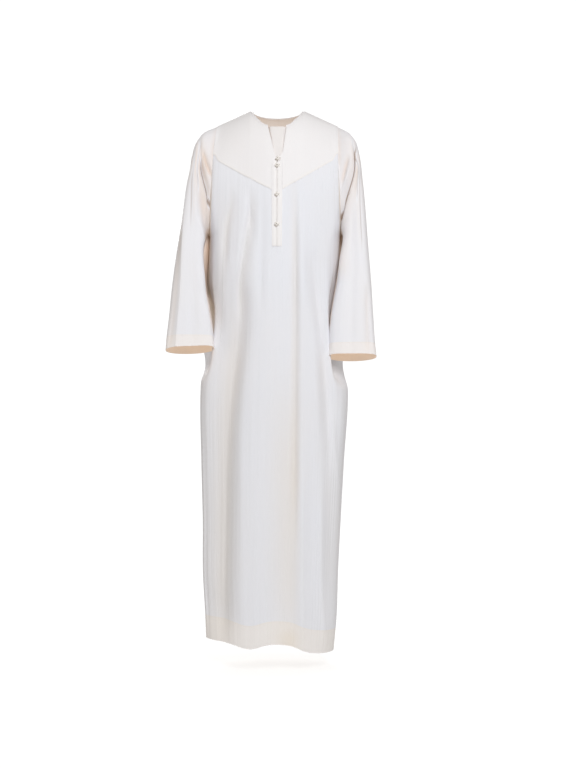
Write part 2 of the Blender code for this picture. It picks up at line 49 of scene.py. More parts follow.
cloth = {
    "wall": 0.0009,  # thickness of the visible cloth
    "layer": 0.0015,  # from the middle of one layer to the middle of the next
    "inset": 0.00015,  # how far each piece stands back from a seam
    "shadowLine": 0.0026,  # half width of the shadow down a sharp crease
}
faceName = {-1: "front", 1: "back"}
sideSign = {"right": -1, "left": 1}


def inMetres(table):
    # a table of rows in millimetres, as arrays in metres
    return {key: np.array(values) / 1000 for key, values in table.items()}


def smoothStep(value, start, end):
    # 0 before start, 1 after end, 3t^2 - 2t^3 between them
    t = np.clip((value - start) / (end - start), 0, 1)
    return t * t * (3 - 2 * t)


def unit(vectors):
    # each vector at length 1, and a vector of no length left at 0
    return vectors / np.maximum(np.linalg.norm(vectors, axis=-1, keepdims=True), 1e-12)


def wayAlong(line):
    # the distance from a line's start to each of its points
    return np.concatenate([[0], np.cumsum(np.linalg.norm(np.diff(line, axis=0), axis=1))])


def readCurve(places, values, at):
    # a cubic through the table's rows, with the slope at each row taken from its neighbours
    slopes = np.gradient(values, places, axis=0)
    at = np.clip(at, places[0], places[-1])
    low = np.clip(np.searchsorted(places, at, side="right") - 1, 0, len(places) - 2)
    step = places[low + 1] - places[low]
    t = (at - places[low]) / step
    extra = (1,) * (values.ndim - 1)
    t = t.reshape(t.shape + extra)
    step = step.reshape(step.shape + extra)
    return (values[low] * (1 + 2 * t) * (1 - t) ** 2 + values[low + 1] * t**2 * (3 - 2 * t)
            + slopes[low] * step * t * (1 - t) ** 2 - slopes[low + 1] * step * t**2 * (1 - t))


def fold(path, right, left, depth, power=2.0, tint=0, line=0, fade=80):
    # path is (level, x) points down the fold's middle; it, the widths on either side, the depth and the
    # fade at the ends are in millimetres; tint paints warm shade over the fold, line a shadow down its middle
    levels, places = np.array(path, float).T / 1000
    sizes = {"right": right / 1000, "left": left / 1000, "depth": depth / 1000, "fade": fade / 1000}
    return sizes | {"levels": levels, "places": places, "power": power, "tint": tint, "line": line}


def foldHeight(folds, x, level):
    # the sum of bells across each fold's middle line x(level), e^-|offset/width|^power, fading in and out
    # at the ends of the line; also the sum of their tints, painted warm shade, less their lines: a line is a
    # narrow painted shadow down the middle of a sharp crease
    height = np.zeros(np.broadcast(x, level).shape)
    tint = np.zeros_like(height)
    step = 0.01
    for each in folds:
        levels, fade = each["levels"], each["fade"]
        middle = readCurve(levels, each["places"], level)
        lean = (readCurve(levels, each["places"], level + step) - middle) / step
        offset = (x - middle) / np.sqrt(1 + lean**2)
        width = np.where(offset < 0, each["right"], each["left"])
        ends = smoothStep(level, levels[0] - fade, levels[0] + fade)
        ends = ends * (1 - smoothStep(level, levels[-1] - fade, levels[-1] + fade))
        bell = np.exp(-(np.abs(offset / width) ** each["power"])) * ends
        height += each["depth"] * bell
        tint += each["tint"] * bell - each["line"] * np.exp(-((offset / cloth["shadowLine"]) ** 2)) * ends
    return height, tint


# body: sizes of the cut, its outline, its folds

body = {
    "neckHalfWidth": 0.0719,
    "neckMiddle": -0.0015,
    "frontNeckDrop": 0.055,
    "backNeckDrop": 0.012,
    "neckShare": 0.44,  # across at which the neck opening ends
    "neckFullness": 0.62,  # 0.5 gives an elliptic neckline, more a pointed one
    "neckReach": 0.20,  # level down to which the rows follow the neckline
    "bindingScale": 0.93,  # inner edge of the binding, as a share of the opening
    "shoulderSlope": 0.45,
    "shoulderRound": 0.12,  # level at which the shoulder has rounded into the chest
    "underarm": 0.340,
    "chest": 0.05,
    "waist": 0.50,
    "crownPowers": (0.75, 0.50),  # of the round section, above the chest and below the waist
    "hipWidth": 0.24,  # metres of cloth for each radian round the hips
    "armholeHalfDepth": 0.070,
    "armholeSpread": 0.17,  # how far above and below its middle the armhole's depth is felt
    "armholeReach": 3,  # power of across with which the armhole's depth fades inwards
    "armholeEdge": 24,  # power of across that holds the edge itself to the armhole
    "foldEdge": 0.06,  # folds fade out over this share of across at either side
    "hemDepth": 0.062,
    "hemRows": 12,
    "roundedRows": 30,
    "straightRows": 236,
    # painted warm shade down the body's sides beside the arms, where the cloth turns into the shadow under
    # them
    "armShadeTint": {"start": (0.12, 0.24), "end": (0.54, 0.67), "across": (0.965, 1.0)},  # warmth beside the arms
}

outline = inMetres({
    "level": [0, 100, 200, 340, 450, 550, 660, 750, 960, 1120, 1260, 1380, 1470],
    "right": [-165, -174, -180, -186, -190, -193, -204, -211, -209.3, -205.5, -205, -198.5, -195],
    "left": [162, 162, 166.5, 170, 168, 173, 185, 191, 180, 171, 164, 160, 152],
    "front": [105, 107, 122, 135, 140, 142, 145, 148, 151, 154, 155, 155, 155],
    "back": [100, 103, 116, 120, 117, 116, 122, 128, 132, 133, 134, 135, 135],
})

hem = {
    "across": np.array([-1.0, -0.6, -0.3, 0.0, 0.3, 0.6, 1.0]),
    "front": np.array([1.4347, 1.4360, 1.4450, 1.4330, 1.4370, 1.4580, 1.4697]),
    "back": np.array([1.4347, 1.4370, 1.4400, 1.4420, 1.4450, 1.4540, 1.4697]),
}

# where each arm presses the side in, or the cloth behind it swells out (a negative depth): turn in degrees
# from the front, the width ahead and behind, then the levels of its start, full depth, easing and end
presses = [
    {"side": -1, "depth": 0.034, "turn": 77, "ahead": 10, "behind": 22, "levels": (0.46, 0.60, 0.668, 0.742)},
    {"side": 1, "depth": 0.053, "turn": 70, "ahead": 11, "behind": 22, "levels": (0.40, 0.68, 0.685, 0.762)},
    {"side": -1, "depth": -0.026, "turn": 113, "ahead": 15, "behind": 14, "levels": (0.39, 0.46, 0.60, 0.74)},
    {"side": 1, "depth": -0.014, "turn": 113, "ahead": 15, "behind": 14, "levels": (0.38, 0.45, 0.58, 0.72)},
]

frontFolds = [
    # from the right side to the left one; the first two keep the sides under the arms from rounding away
    fold([(300, -180), (390, -177), (470, -174), (580, -170), (660, -175), (740, -186)],
         12, 22, 6, power=1.6),
    fold([(300, 170), (390, 165), (470, 150), (550, 140), (660, 143), (760, 156)], 22, 12, 6, power=1.6),
    fold([(500, -196), (860, -200), (1440, -193)], 12, 22, 9, power=1.6),
    fold([(260, -125), (450, -155), (620, -165)], 26, 16, -5, tint=0.17),
    fold([(250, -123), (320, -137), (420, -140)], 9, 8, -5, tint=0.11, fade=50),
    fold([(270, -70), (310, -76), (390, -88), (470, -99.5), (550, -101)], 10, 15, -13, tint=0.22, fade=60),
    fold([(520, -97), (630, -107.5), (710, -118), (790, -127.5), (950, -138.5), (1100, -142), (1420, -149)],
         78, 23, -39, tint=0.1, fade=100),
    fold([(600, -108), (710, -119), (790, -129), (950, -140), (1420, -150)],
         26, 24, -0.5, tint=0.26, fade=160),
    fold([(920, -96), (1100, -95.5), (1440, -94)], 10, 40, 4, power=1.5),
    fold([(245, -78), (360, -64)], 8, 8, -4, fade=50),
    fold([(245, -39), (520, -44)], 10, 8, -4, fade=60),
    fold([(255, 33), (400, 30)], 6, 7, -4, fade=40),
    fold([(270, 46), (700, 47), (1100, 45)], 11, 9, -10, tint=0.33, fade=140),
    fold([(840, 32), (1440, 34)], 50, 22, -9, tint=0.39, fade=220),
    fold([(1400, 30), (1470, 30)], 30, 26, -0.5, tint=0.4, fade=20),
    fold([(340, 64), (700, 64.5), (1440, 65)], 12, 14, 5, power=1.5),
    fold([(960, 64), (1440, 65)], 34, 20, 6, power=1.4, fade=160),
    fold([(440, 95), (550, 107), (630, 118), (750, 127), (900, 136)],
         13, 24, -17, power=1.8, tint=0.08, fade=100),
    fold([(960, 137), (1300, 145)], 14, 28, -5, power=1.8, tint=0.06, fade=140),
    fold([(440, 70), (630, 93), (750, 101), (960, 112), (1300, 115)], 20, 14, 5),
    fold([(840, 147), (940, 156), (1020, 166)], 12, 8, 5, power=1.4, fade=50),
    fold([(1070, 116), (1300, 118), (1420, 127)], 9, 10, 6, power=1.4),
    fold([(800, 176), (950, 174), (1100, 169), (1440, 160)], 30, 12, 9, power=1.6),
]

backFolds = [
    fold([(300, -140), (800, -150), (1300, -155)], 26, 14, -11, power=1.7),
    fold([(200, -85), (800, -98), (1420, -112)], 14, 30, -18, power=1.7, tint=0.19),
    fold([(400, -60), (1440, -72)], 10, 22, 6, power=1.5, tint=0.06),
    fold([(220, -22), (500, -26), (720, -22)], 12, 10, -5, fade=100),
    fold([(190, 20), (900, 10), (1420, 12)], 30, 13, -15, power=1.7, tint=0.19),
    fold([(900, -30), (1440, -34)], 12, 14, -6, fade=120),
    fold([(240, 85), (700, 90), (1440, 100)], 34, 15, -18, power=1.7, tint=0.19),
    fold([(500, 58), (1440, 64)], 12, 20, 5, power=1.5, fade=150),
    fold([(500, 128), (1440, 130)], 20, 10, 9, power=1.6),
]


def shoulderDrop(x):
    # the shoulder falls in a straight slope from each neck point
    return body["shoulderSlope"] * np.maximum(0, np.abs(x - body["neckMiddle"]) - body["neckHalfWidth"])


def bodyWidth(level):
    # middle and half width of the outline
    right, left = (readCurve(outline["level"], outline[side], level) for side in ("right", "left"))
    return (right + left) / 2, (left - right) / 2


def bodySurface(face, across, level, details=False):
    # x runs from side to side, pressed in under the arms; y is the armhole's half depth near the edge plus
    # the crown (1 - across^2)^power times the depth, plus the folds; z is the level plus the shoulder's slope
    across, level = np.broadcast_arrays(np.asarray(across, float), np.asarray(level, float))
    middle, half = bodyWidth(level)
    x = middle + half * across
    rounding = np.sqrt(1 - (1 - np.clip(level / body["shoulderRound"], 0, 1)) ** 2)
    depth = readCurve(outline["level"], outline[faceName[face]], level) * rounding
    side = np.abs(across)
    turnAtArm = np.arccos(np.clip(1 - 2 * level / body["underarm"], -1, 1))
    hard = side ** body["armholeEdge"]
    soft = np.exp(-(((level - body["underarm"] / 2) / body["armholeSpread"]) ** 2)) * rounding
    edge = np.sin(turnAtArm) * hard + soft * (side ** body["armholeReach"] - hard)
    high, low = body["crownPowers"]
    power = high + (low - high) * smoothStep(level, body["chest"], body["waist"])
    crown = np.maximum(0, 1 - across**2) ** power
    folds, tint = foldHeight(frontFolds if face < 0 else backFolds, x, level)
    y = body["armholeHalfDepth"] * edge + depth * crown + folds * smoothStep(1 - side, 0.0, body["foldEdge"])
    turn = np.degrees(np.arcsin(np.clip(side, 0, 1)))
    turn = 180 - turn if face > 0 else turn
    for press in presses:
        start, full, ease, end = press["levels"]
        spread = np.where(turn < press["turn"], press["ahead"], press["behind"])
        near = np.exp(-(((turn - press["turn"]) / spread) ** 2)) * (press["side"] * across > 0)
        near = near * smoothStep(level, start, full) * (1 - smoothStep(level, ease, end))
        x = x - press["side"] * press["depth"] * near
    z = -level - shoulderDrop(x) * np.clip(1 - level / body["underarm"], 0, 1)
    points = np.stack([x, face * y, z], axis=-1)
    return (points, tint) if details else points


def outward(face, across, level):
    # the cross product of the surface's two directions, from small steps either way
    step = 0.003
    level = np.maximum(level, step / 3)
    ahead, behind = (bodySurface(face, np.clip(across + way, -1, 1), level) for way in (step, -step))
    below, above = (bodySurface(face, across, np.maximum(level + way, 0)) for way in (step, -step))
    return unit(np.cross(below - above, ahead - behind) * -face)


def neckDrop(face, across):
    # how far below the shoulder line the neck opening's edge lies: (1 - (across/share)^2)^fullness
    share = np.maximum(0, 1 - (across / body["neckShare"]) ** 2)
    return body[faceName[face] + "NeckDrop"] * share ** body["neckFullness"]


def hemLevel(face, across):
    return readCurve(hem["across"], hem[faceName[face]], across)


def rowLevels(face, across):
    # rows close together over the shoulder, even below it, and pushed down by the neck opening
    start = body["shoulderRound"]
    bend = start * (1 - np.cos(np.linspace(0, np.pi / 2, body["roundedRows"], endpoint=False)))
    share = np.linspace(0, 1, body["straightRows"])[:, None]
    levels = np.vstack([bend[:, None] + 0 * across, start + share * (hemLevel(face, across) - start)])
    return levels + neckDrop(face, across) * np.clip(1 - levels / body["neckReach"], 0, 1)


# the neck slit and the columns beside it

placket = {
    "level": [0.050, 0.125, 0.150, 0.318, 0.330, 0.400],
    "right": [-0.0275, -0.0090, -0.0027, -0.0027, -0.0021, -0.0021],
    "left": [0.0237, 0.0135, -0.0013, -0.0013, -0.0018, -0.0018],
    "end": 0.377,
    "fade": 0.05,  # length over which the columns spread out again below the slit
    "stripWidth": 0.0132,
    "slitColumn": 0.06,
    "stripColumn": 0.18,
    "freeColumn": 0.31,
    "stripTop": 0.152,
    "stripEnd": 0.380,
    "stripGrid": (9, 60),
    "stripRoll": 0.0005,  # how far the strip's folded edges roll down
    "rollSteepness": 2.6,  # 2 rolls from the strip's middle, more rolls its edges only
    "stripRise": 0.0003,  # how far the strips stand above a doubled layer
    "underlapEnd": 0.381,
    "underlapGrid": (73, 110),
    "tabDepth": 0.0030,  # how much deeper the underlap lies where the slit is open
    "tabRight": [-0.0222, -0.0060],  # the tab's edges, at its top and where the slit closes
    "tabLeft": [0.0168, 0.0142],
    "tabDrop": 0.0018,  # how much deeper the cloth beside the tab lies
    "tabRise": 0.0030,  # how far its top stands above the neckline
    "tabFade": 0.02,  # length over which the tab comes up to the strips
    "tabEdge": (-0.0006, 0.0010),  # how far either side of its edges the cloth falls away
    # painted warm shade over the tab where it lies sunk behind the open slit, and painted shadows beside it
    "tabShadeTint": 0.35,
    "tabShadow": {"right": -0.75, "left": -0.16},
}
columnsOf = {"side": 56, "free": 6, "strip": 6, "slit": 4, "back": 131}


def slitAcross(columns, level):
    # columns at slitColumn and stripColumn are led to the slit's edges and the strips' outer edges
    middle, half = bodyWidth(level)
    right, left = (np.interp(level, placket["level"], placket[side]) for side in ("right", "left"))
    width = placket["stripWidth"]
    free, strip, slit = placket["freeColumn"], placket["stripColumn"], placket["slitColumn"]
    anchors = [-free, -strip, -slit, slit, strip, free]
    targets = [middle - free * half, right - width, right, left, left + width, middle + free * half]
    columns = np.broadcast_to(columns, level.shape)
    led = columns
    for low in range(len(anchors) - 1):
        inside = (columns >= anchors[low] - 1e-9) & (columns <= anchors[low + 1] + 1e-9)
        share = (columns - anchors[low]) / (anchors[low + 1] - anchors[low])
        place = targets[low] + (targets[low + 1] - targets[low]) * share
        led = np.where(inside, (place - middle) / half, led)
    hold = 1 - smoothStep(level, placket["end"], placket["end"] + placket["fade"])
    return columns + (led - columns) * hold


def frontColumns():
    # even turns round the body from the side to the free column, then even steps to the middle
    free, strip, slit = placket["freeColumn"], placket["stripColumn"], placket["slitColumn"]
    half = np.concatenate([
        np.sin(np.linspace(np.pi / 2, math.asin(free), columnsOf["side"], endpoint=False)),
        np.linspace(free, strip, columnsOf["free"], endpoint=False),
        np.linspace(strip, slit, columnsOf["strip"], endpoint=False)])
    return np.concatenate([-half, np.linspace(-slit, slit, columnsOf["slit"] + 1), half[::-1]])


def backColumns():
    # even turns round the body, from the wearer's left to the right, as seen from behind
    return -np.sin(np.linspace(-np.pi / 2, np.pi / 2, columnsOf["back"]))


# mesh tools

def gridQuads(rows, columns, wraps=False, closes=False):
    # corner numbers of every cell, turned so that the face points outwards; wraps joins the last column
    # to the first, and closes joins the last row to the first
    number = np.arange(rows * columns).reshape(rows, columns)
    if wraps:
        number = np.hstack([number, number[:, :1]])
    if closes:
        number = np.vstack([number, number[:1]])
    return np.stack([number[:-1, :-1], number[1:, :-1], number[1:, 1:], number[:-1, 1:]], axis=-1)


def pointNormals(points, quads):
    # the area-weighted mean of the faces round each point
    a, b, c, d = (points[quads[:, i]] for i in range(4))
    area = np.cross(c - a, d - b)
    total = np.zeros_like(points)
    for i in range(4):
        np.add.at(total, quads[:, i], area)
    return unit(total)


def borderEdges(quads):
    # edges with a face on one side only, in that face's direction
    edges = np.vstack([quads[:, [i, (i + 1) % 4]] for i in range(4)])
    _, place, count = np.unique(np.sort(edges, axis=1), axis=0, return_inverse=True, return_counts=True)
    return edges[count[place.reshape(-1)] == 1]


def meshFrom(name, points, faces):
    # faces is an array of corner numbers, 3 or 4 a face
    mesh = bpy.data.meshes.new(name)
    mesh.vertices.add(len(points))
    mesh.vertices.foreach_set("co", np.asarray(points, np.float32).ravel())
    mesh.loops.add(faces.size)
    mesh.loops.foreach_set("vertex_index", faces.astype(np.int32).ravel())
    mesh.polygons.add(len(faces))
    mesh.polygons.foreach_set("loop_start", np.arange(0, faces.size, faces.shape[1], dtype=np.int32))
    mesh.polygons.foreach_set("use_smooth", np.ones(len(faces), bool))
    mesh.update(calc_edges=True)
    return mesh


def addPiece(name, mesh, materials, nodes):
    piece = bpy.data.objects.new(name, mesh)
    for material in materials:
        mesh.materials.append(material)
    bpy.context.scene.collection.objects.link(piece)
    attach(piece, "root")
    if nodes:
        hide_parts(*nodes)
    return piece


def clothShell(name, points, quads, uv, values, materials, nodes, slot, lift=0.0, normals=None):
    # two skins half a wall either side of the sheet, joined round the border; the outer skin takes the
    # first material, the inner one the second. lift moves the whole sheet outwards.
    used, number = np.unique(quads, return_inverse=True)
    quads = number.reshape(quads.shape)
    points = points[used]
    normals = pointNormals(points, quads) if normals is None else normals[used]
    middle = points + normals * lift
    edges = borderEdges(quads)
    along = middle[edges[:, 1]] - middle[edges[:, 0]]
    across = unit(np.cross(normals[edges[:, 0]] + normals[edges[:, 1]], along))
    inward = np.zeros_like(middle)
    for end in (0, 1):
        np.add.at(inward, edges[:, end], across)
    middle = middle + cloth["inset"] * unit(inward)
    count = len(middle)
    half = normals * cloth["wall"] / 2
    rim = np.column_stack([edges[:, 1], edges[:, 0], edges[:, 0] + count, edges[:, 1] + count])
    faces = np.vstack([quads, quads[:, ::-1] + count, rim])
    mesh = meshFrom(name, np.vstack([middle + half, middle - half]), faces)
    which = np.repeat([0, 1, 0], [len(quads), len(quads), len(rim)]).astype(np.int32)
    mesh.polygons.foreach_set("material_index", which)
    both = np.tile(uv[used], (2, 1)).astype(np.float32)
    mesh.uv_layers.new(name="clothUv").data.foreach_set("uv", both[faces.ravel()].ravel())
    for key, value in values.items():
        attribute = mesh.attributes.new(key, "FLOAT", "POINT")
        attribute.data.foreach_set("value", np.tile(value[used], 2).astype(np.float32))
    sharpBorders(mesh, edges, count)
    return addPiece(name, mesh, materials, nodes)


def sharpBorders(mesh, edges, count):
    # both edges of the rim are sharp, so that the skins stay smooth up to it
    ends = np.empty(len(mesh.edges) * 2, np.int32)
    mesh.edges.foreach_get("vertices", ends)
    border = np.vstack([edges, edges + count])
    keys = [np.sort(pairs, axis=1) @ (2 * count, 1) for pairs in (ends.reshape(-1, 2), border)]
    attribute = mesh.attributes.new("sharp_edge", "BOOLEAN", "EDGE")
    attribute.data.foreach_set("value", np.isin(*keys))


def tubeFaces(rings, sides):
    # the triangles of a tube of rings, with a point at either end numbered after them
    quads = gridQuads(rings, sides, wraps=True).reshape(-1, 4)
    loop = np.arange(sides)
    turned = np.roll(loop, -1)
    last, start = (rings - 1) * sides, np.full(sides, rings * sides)
    return np.vstack([quads[:, [0, 1, 2]], quads[:, [0, 2, 3]], np.column_stack([loop, turned, start]),
                      np.column_stack([last + turned, last + loop, start + 1])])


def tubeMesh(name, path, radius, reference=(0, -1, 0), closed=False):
    # a circle of the radius carried along the path, upright to its direction; open ends are capped
    sides = 8
    along = np.roll(path, -1, axis=0) - np.roll(path, 1, axis=0) if closed else np.gradient(path, axis=0)
    along = unit(along)
    first = unit(np.cross(along, np.broadcast_to(reference, path.shape)))
    second = np.cross(first, along)
    angle = np.linspace(0, 2 * np.pi, sides, endpoint=False)[None, :, None]
    rings = path[:, None] + radius * (np.cos(angle) * first[:, None] + np.sin(angle) * second[:, None])
    points = rings.reshape(-1, 3)
    if closed:
        return meshFrom(name, points, gridQuads(len(path), sides, wraps=True, closes=True).reshape(-1, 4))
    return meshFrom(name, np.vstack([points, path[:1], path[-1:]]), tubeFaces(len(path), sides))


# shader groups and materials

def feed(tree, socket, value):
    # a number or a colour is set on the socket, and an output is linked to it
    if isinstance(value, (int, float)):
        socket.default_value = value
    elif isinstance(value, tuple):
        socket.default_value = (*value, 1)
    else:
        tree.links.new(value, socket)


def fill(tree, node, inputs):
    for key, value in inputs.items():
        feed(tree, node.inputs[key], value)
    return node


def addNode(tree, kind, inputs=None):
    return fill(tree, tree.nodes.new("ShaderNode" + kind), inputs or {})


def newGroup(name, inputs, outputs):
    group = bpy.data.node_groups.new(name, "ShaderNodeTree")
    for label, kind, value in inputs:
        socket = group.interface.new_socket(label, in_out="INPUT", socket_type="NodeSocket" + kind)
        if value is not None:
            socket.default_value = value
    for label, kind in outputs:
        group.interface.new_socket(label, in_out="OUTPUT", socket_type="NodeSocket" + kind)
    return group, group.nodes.new("NodeGroupInput").outputs, group.nodes.new("NodeGroupOutput").inputs


def maths(tree, operation, *values, clamp=False):
    node = addNode(tree, "Math")
    node.operation = operation
    node.use_clamp = clamp
    return fill(tree, node, dict(enumerate(values))).outputs[0]


def mixColour(tree, share, first, second, blend="MIX"):
    node = addNode(tree, "Mix")
    node.data_type = "RGBA"
    node.blend_type = blend
    return fill(tree, node, {0: share, 6: first, 7: second}).outputs[2]


# scale, detail, and stretch across, along and through
noises = {
    "warpStreaks": (1.0, 2.0, (420, 9, 1)),
    "weftStreaks": (1.0, 2.0, (14, 620, 1)),
    "broadDrift": (3.1, 2.0, (1.6, 1.6, 0.8)),
    "fineDrift": (26.0, 3.0, (1.5, 1.5, 0.5)),
    "seamRipple": (1.0, 1.0, (95, 12, 1)),
    "broadCrease": (1.0, 2.0, (46, 1.5, 1)),
    "narrowCrease": (1.0, 2.0, (150, 4, 1)),
    "strands": (900.0, 2.0, (1, 1, 2.5)),
    "softStrands": (160.0, 2.0, (1, 1, 1)),
}
# share of each noise in its sum, what is taken off the drift, the streaks' height over the weave's, and
# the width of a seam's line as a share of the pucker's reach
shares = {
    "warpStreaks": 0.68, "weftStreaks": 0.32, "broadDrift": 1.3, "fineDrift": 0.5, "driftLess": 0.55,
    "strands": 0.5, "softStrands": 0.5, "streakHeight": 0.8, "seamLine": 0.12,
}
strandBump = (0.4, 0.0002)  # strength and height


def noiseAt(tree, vector, name):
    scale, detail, stretch = noises[name]
    mapping = addNode(tree, "Mapping", {"Vector": vector})
    mapping.inputs["Scale"].default_value = stretch
    noise = addNode(tree, "TexNoise", {"Scale": scale, "Detail": detail, "Vector": mapping.outputs[0]})
    return noise.outputs["Fac"]


def sharedNoise(tree, vector, name):
    # a noise times its share
    return maths(tree, "MULTIPLY", noiseAt(tree, vector, name), shares[name])


def bumpFrom(tree, height, strength, distance, normal=None):
    inputs = {"Height": height, "Strength": strength, "Distance": distance}
    return addNode(tree, "Bump", inputs | ({"Normal": normal} if normal else {})).outputs[0]


def makeWeaveGroup():
    # a plain weave: the product of one sine across and one along, plus long streaks where threads are thicker
    group, source, sink = newGroup(
        "plainWeave", [("Vector", "Vector", None), ("Threads", "Float", 2400.0)],
        [("Height", "Float"), ("Streaks", "Float")])
    split = addNode(group, "SeparateXYZ", {0: source["Vector"]})
    pitch = maths(group, "MULTIPLY", source["Threads"], math.pi)
    warp, weft = (maths(group, "SINE", maths(group, "MULTIPLY", split.outputs[i], pitch)) for i in (0, 1))
    weave = maths(group, "MULTIPLY_ADD", maths(group, "MULTIPLY", warp, weft), 0.5, 0.5)
    both = (sharedNoise(group, source["Vector"], name) for name in ("warpStreaks", "weftStreaks"))
    streaks = maths(group, "ADD", *both)
    raised = maths(group, "MULTIPLY", streaks, shares["streakHeight"])
    feed(group, sink["Streaks"], streaks)
    feed(group, sink["Height"], maths(group, "ADD", weave, raised))
    return group


def makeDriftGroup():
    # slow drift between two colours, from a broad noise and a finer one, over the whole cloth
    grey = (0.8, 0.8, 0.8, 1)
    group, source, sink = newGroup(
        "colourDrift", [("Cool", "Color", grey), ("Warm", "Color", grey), ("Bias", "Float", 0.0)],
        [("Color", "Color")])
    place = addNode(group, "TexCoord").outputs["Object"]
    both = (sharedNoise(group, place, name) for name in ("broadDrift", "fineDrift"))
    share = maths(group, "SUBTRACT", maths(group, "ADD", *both), shares["driftLess"])
    share = maths(group, "ADD", share, source["Bias"], clamp=True)
    feed(group, sink["Color"], mixColour(group, share, source["Cool"], source["Warm"]))
    return group


def makePuckerGroup():
    # ripples along a seam, strongest on the seam and gone after Reach; Distance is the way to the seam
    group, source, sink = newGroup(
        "seamPucker", [("Vector", "Vector", None), ("Distance", "Float", 1.0), ("Reach", "Float", 0.012)],
        [("Height", "Float"), ("Seam", "Float")])
    near = maths(group, "DIVIDE", maths(group, "ABSOLUTE", source["Distance"]), source["Reach"])
    mask = maths(group, "SUBTRACT", 1.0, near, clamp=True)
    ripple = noiseAt(group, source["Vector"], "seamRipple")
    feed(group, sink["Height"], maths(group, "MULTIPLY", ripple, maths(group, "POWER", mask, 2.0)))
    line = maths(group, "DIVIDE", near, shares["seamLine"])
    feed(group, sink["Seam"], maths(group, "SUBTRACT", 1.0, line, clamp=True))
    return group


weaveGroup = makeWeaveGroup()
driftGroup = makeDriftGroup()
puckerGroup = makePuckerGroup()


def placeGroup(tree, group, **values):
    node = addNode(tree, "Group")
    node.node_tree = group
    return fill(tree, node, values)


def newMaterial(name, roughness):
    material = bpy.data.materials.new(name)
    material.use_nodes = True
    tree = material.node_tree
    shader = fill(tree, tree.nodes["Principled BSDF"], {
        "Roughness": roughness, "Sheen Weight": 0.1, "Sheen Roughness": 0.5, "Specular IOR Level": 0.25})
    return material, tree, shader


def readAttribute(tree, name):
    node = addNode(tree, "Attribute")
    node.attribute_name = name
    return node.outputs["Fac"]


def clothMaterial(name, look):
    # drift colour, warmed where two layers lie, with painted warm shade where a fold's tint says so and
    # painted dark shade where the tint is negative or the shade says so, over a woven bump, long faint
    # creases down the cloth and puckered seams
    material, tree, shader = newMaterial(name, look["roughness"])
    uvMap = addNode(tree, "UVMap")
    uvMap.uv_map = "clothUv"
    uv = uvMap.outputs[0]
    weave = placeGroup(tree, weaveGroup, Vector=uv, Threads=look["threads"])
    drift = placeGroup(tree, driftGroup, Cool=look["cool"], Warm=look["warm"], Bias=look["bias"])
    edge, tint = readAttribute(tree, "edgeDistance"), readAttribute(tree, "tint")
    band = maths(tree, "MULTIPLY", maths(tree, "LESS_THAN", edge, look["bandDepth"]), look["bandShare"])
    colour = mixColour(tree, band, drift.outputs[0], look["banded"])
    # painted warm shade where the tint is positive, painted dark shade where it is negative or the shade says
    # so
    warmed = maths(tree, "MULTIPLY", tint, look["tintShare"], clamp=True)
    colour = mixColour(tree, warmed, colour, look["tint"])
    negative = maths(tree, "MULTIPLY", tint, -1.0, clamp=True)
    paintedShade = maths(tree, "MAXIMUM", readAttribute(tree, "shade"), negative)
    colour = mixColour(tree, maths(tree, "MULTIPLY", paintedShade, look["paintedShadeShare"]), colour, look["paintedShade"])
    distance = maths(tree, "SUBTRACT", edge, look["bandDepth"])
    pucker = placeGroup(tree, puckerGroup, Vector=uv, Distance=distance, Reach=look["puckerReach"])
    seam = maths(tree, "MULTIPLY", pucker.outputs["Seam"], look["seamShare"])
    colour = mixColour(tree, seam, colour, look["seam"])
    streaked = addNode(tree, "VectorMath")
    streaked.operation = "SCALE"
    streaks = maths(tree, "MULTIPLY_ADD", weave.outputs["Streaks"], look["streaks"], 1 - look["streaks"] / 2)
    fill(tree, streaked, {0: colour, "Scale": streaks})
    normal = bumpFrom(tree, weave.outputs["Height"], look["bump"], look["bumpHeight"])
    narrow, broad = (noiseAt(tree, uv, name) for name in ("narrowCrease", "broadCrease"))
    creases = maths(tree, "MULTIPLY_ADD", narrow, look["narrowShare"], broad)
    normal = bumpFrom(tree, creases, look["drape"], look["drapeHeight"], normal)
    normal = bumpFrom(tree, pucker.outputs["Height"], look["pucker"], look["puckerHeight"], normal)
    # a painted glow: warm emission lifts the cloth's shade, standing in for the light that comes through it
    through = mixColour(tree, 1.0, colour, look["through"], "MULTIPLY")
    fill(tree, shader, {"Base Color": streaked.outputs[0], "Emission Color": through,
                        "Emission Strength": look["glow"], "Normal": normal})
    return material
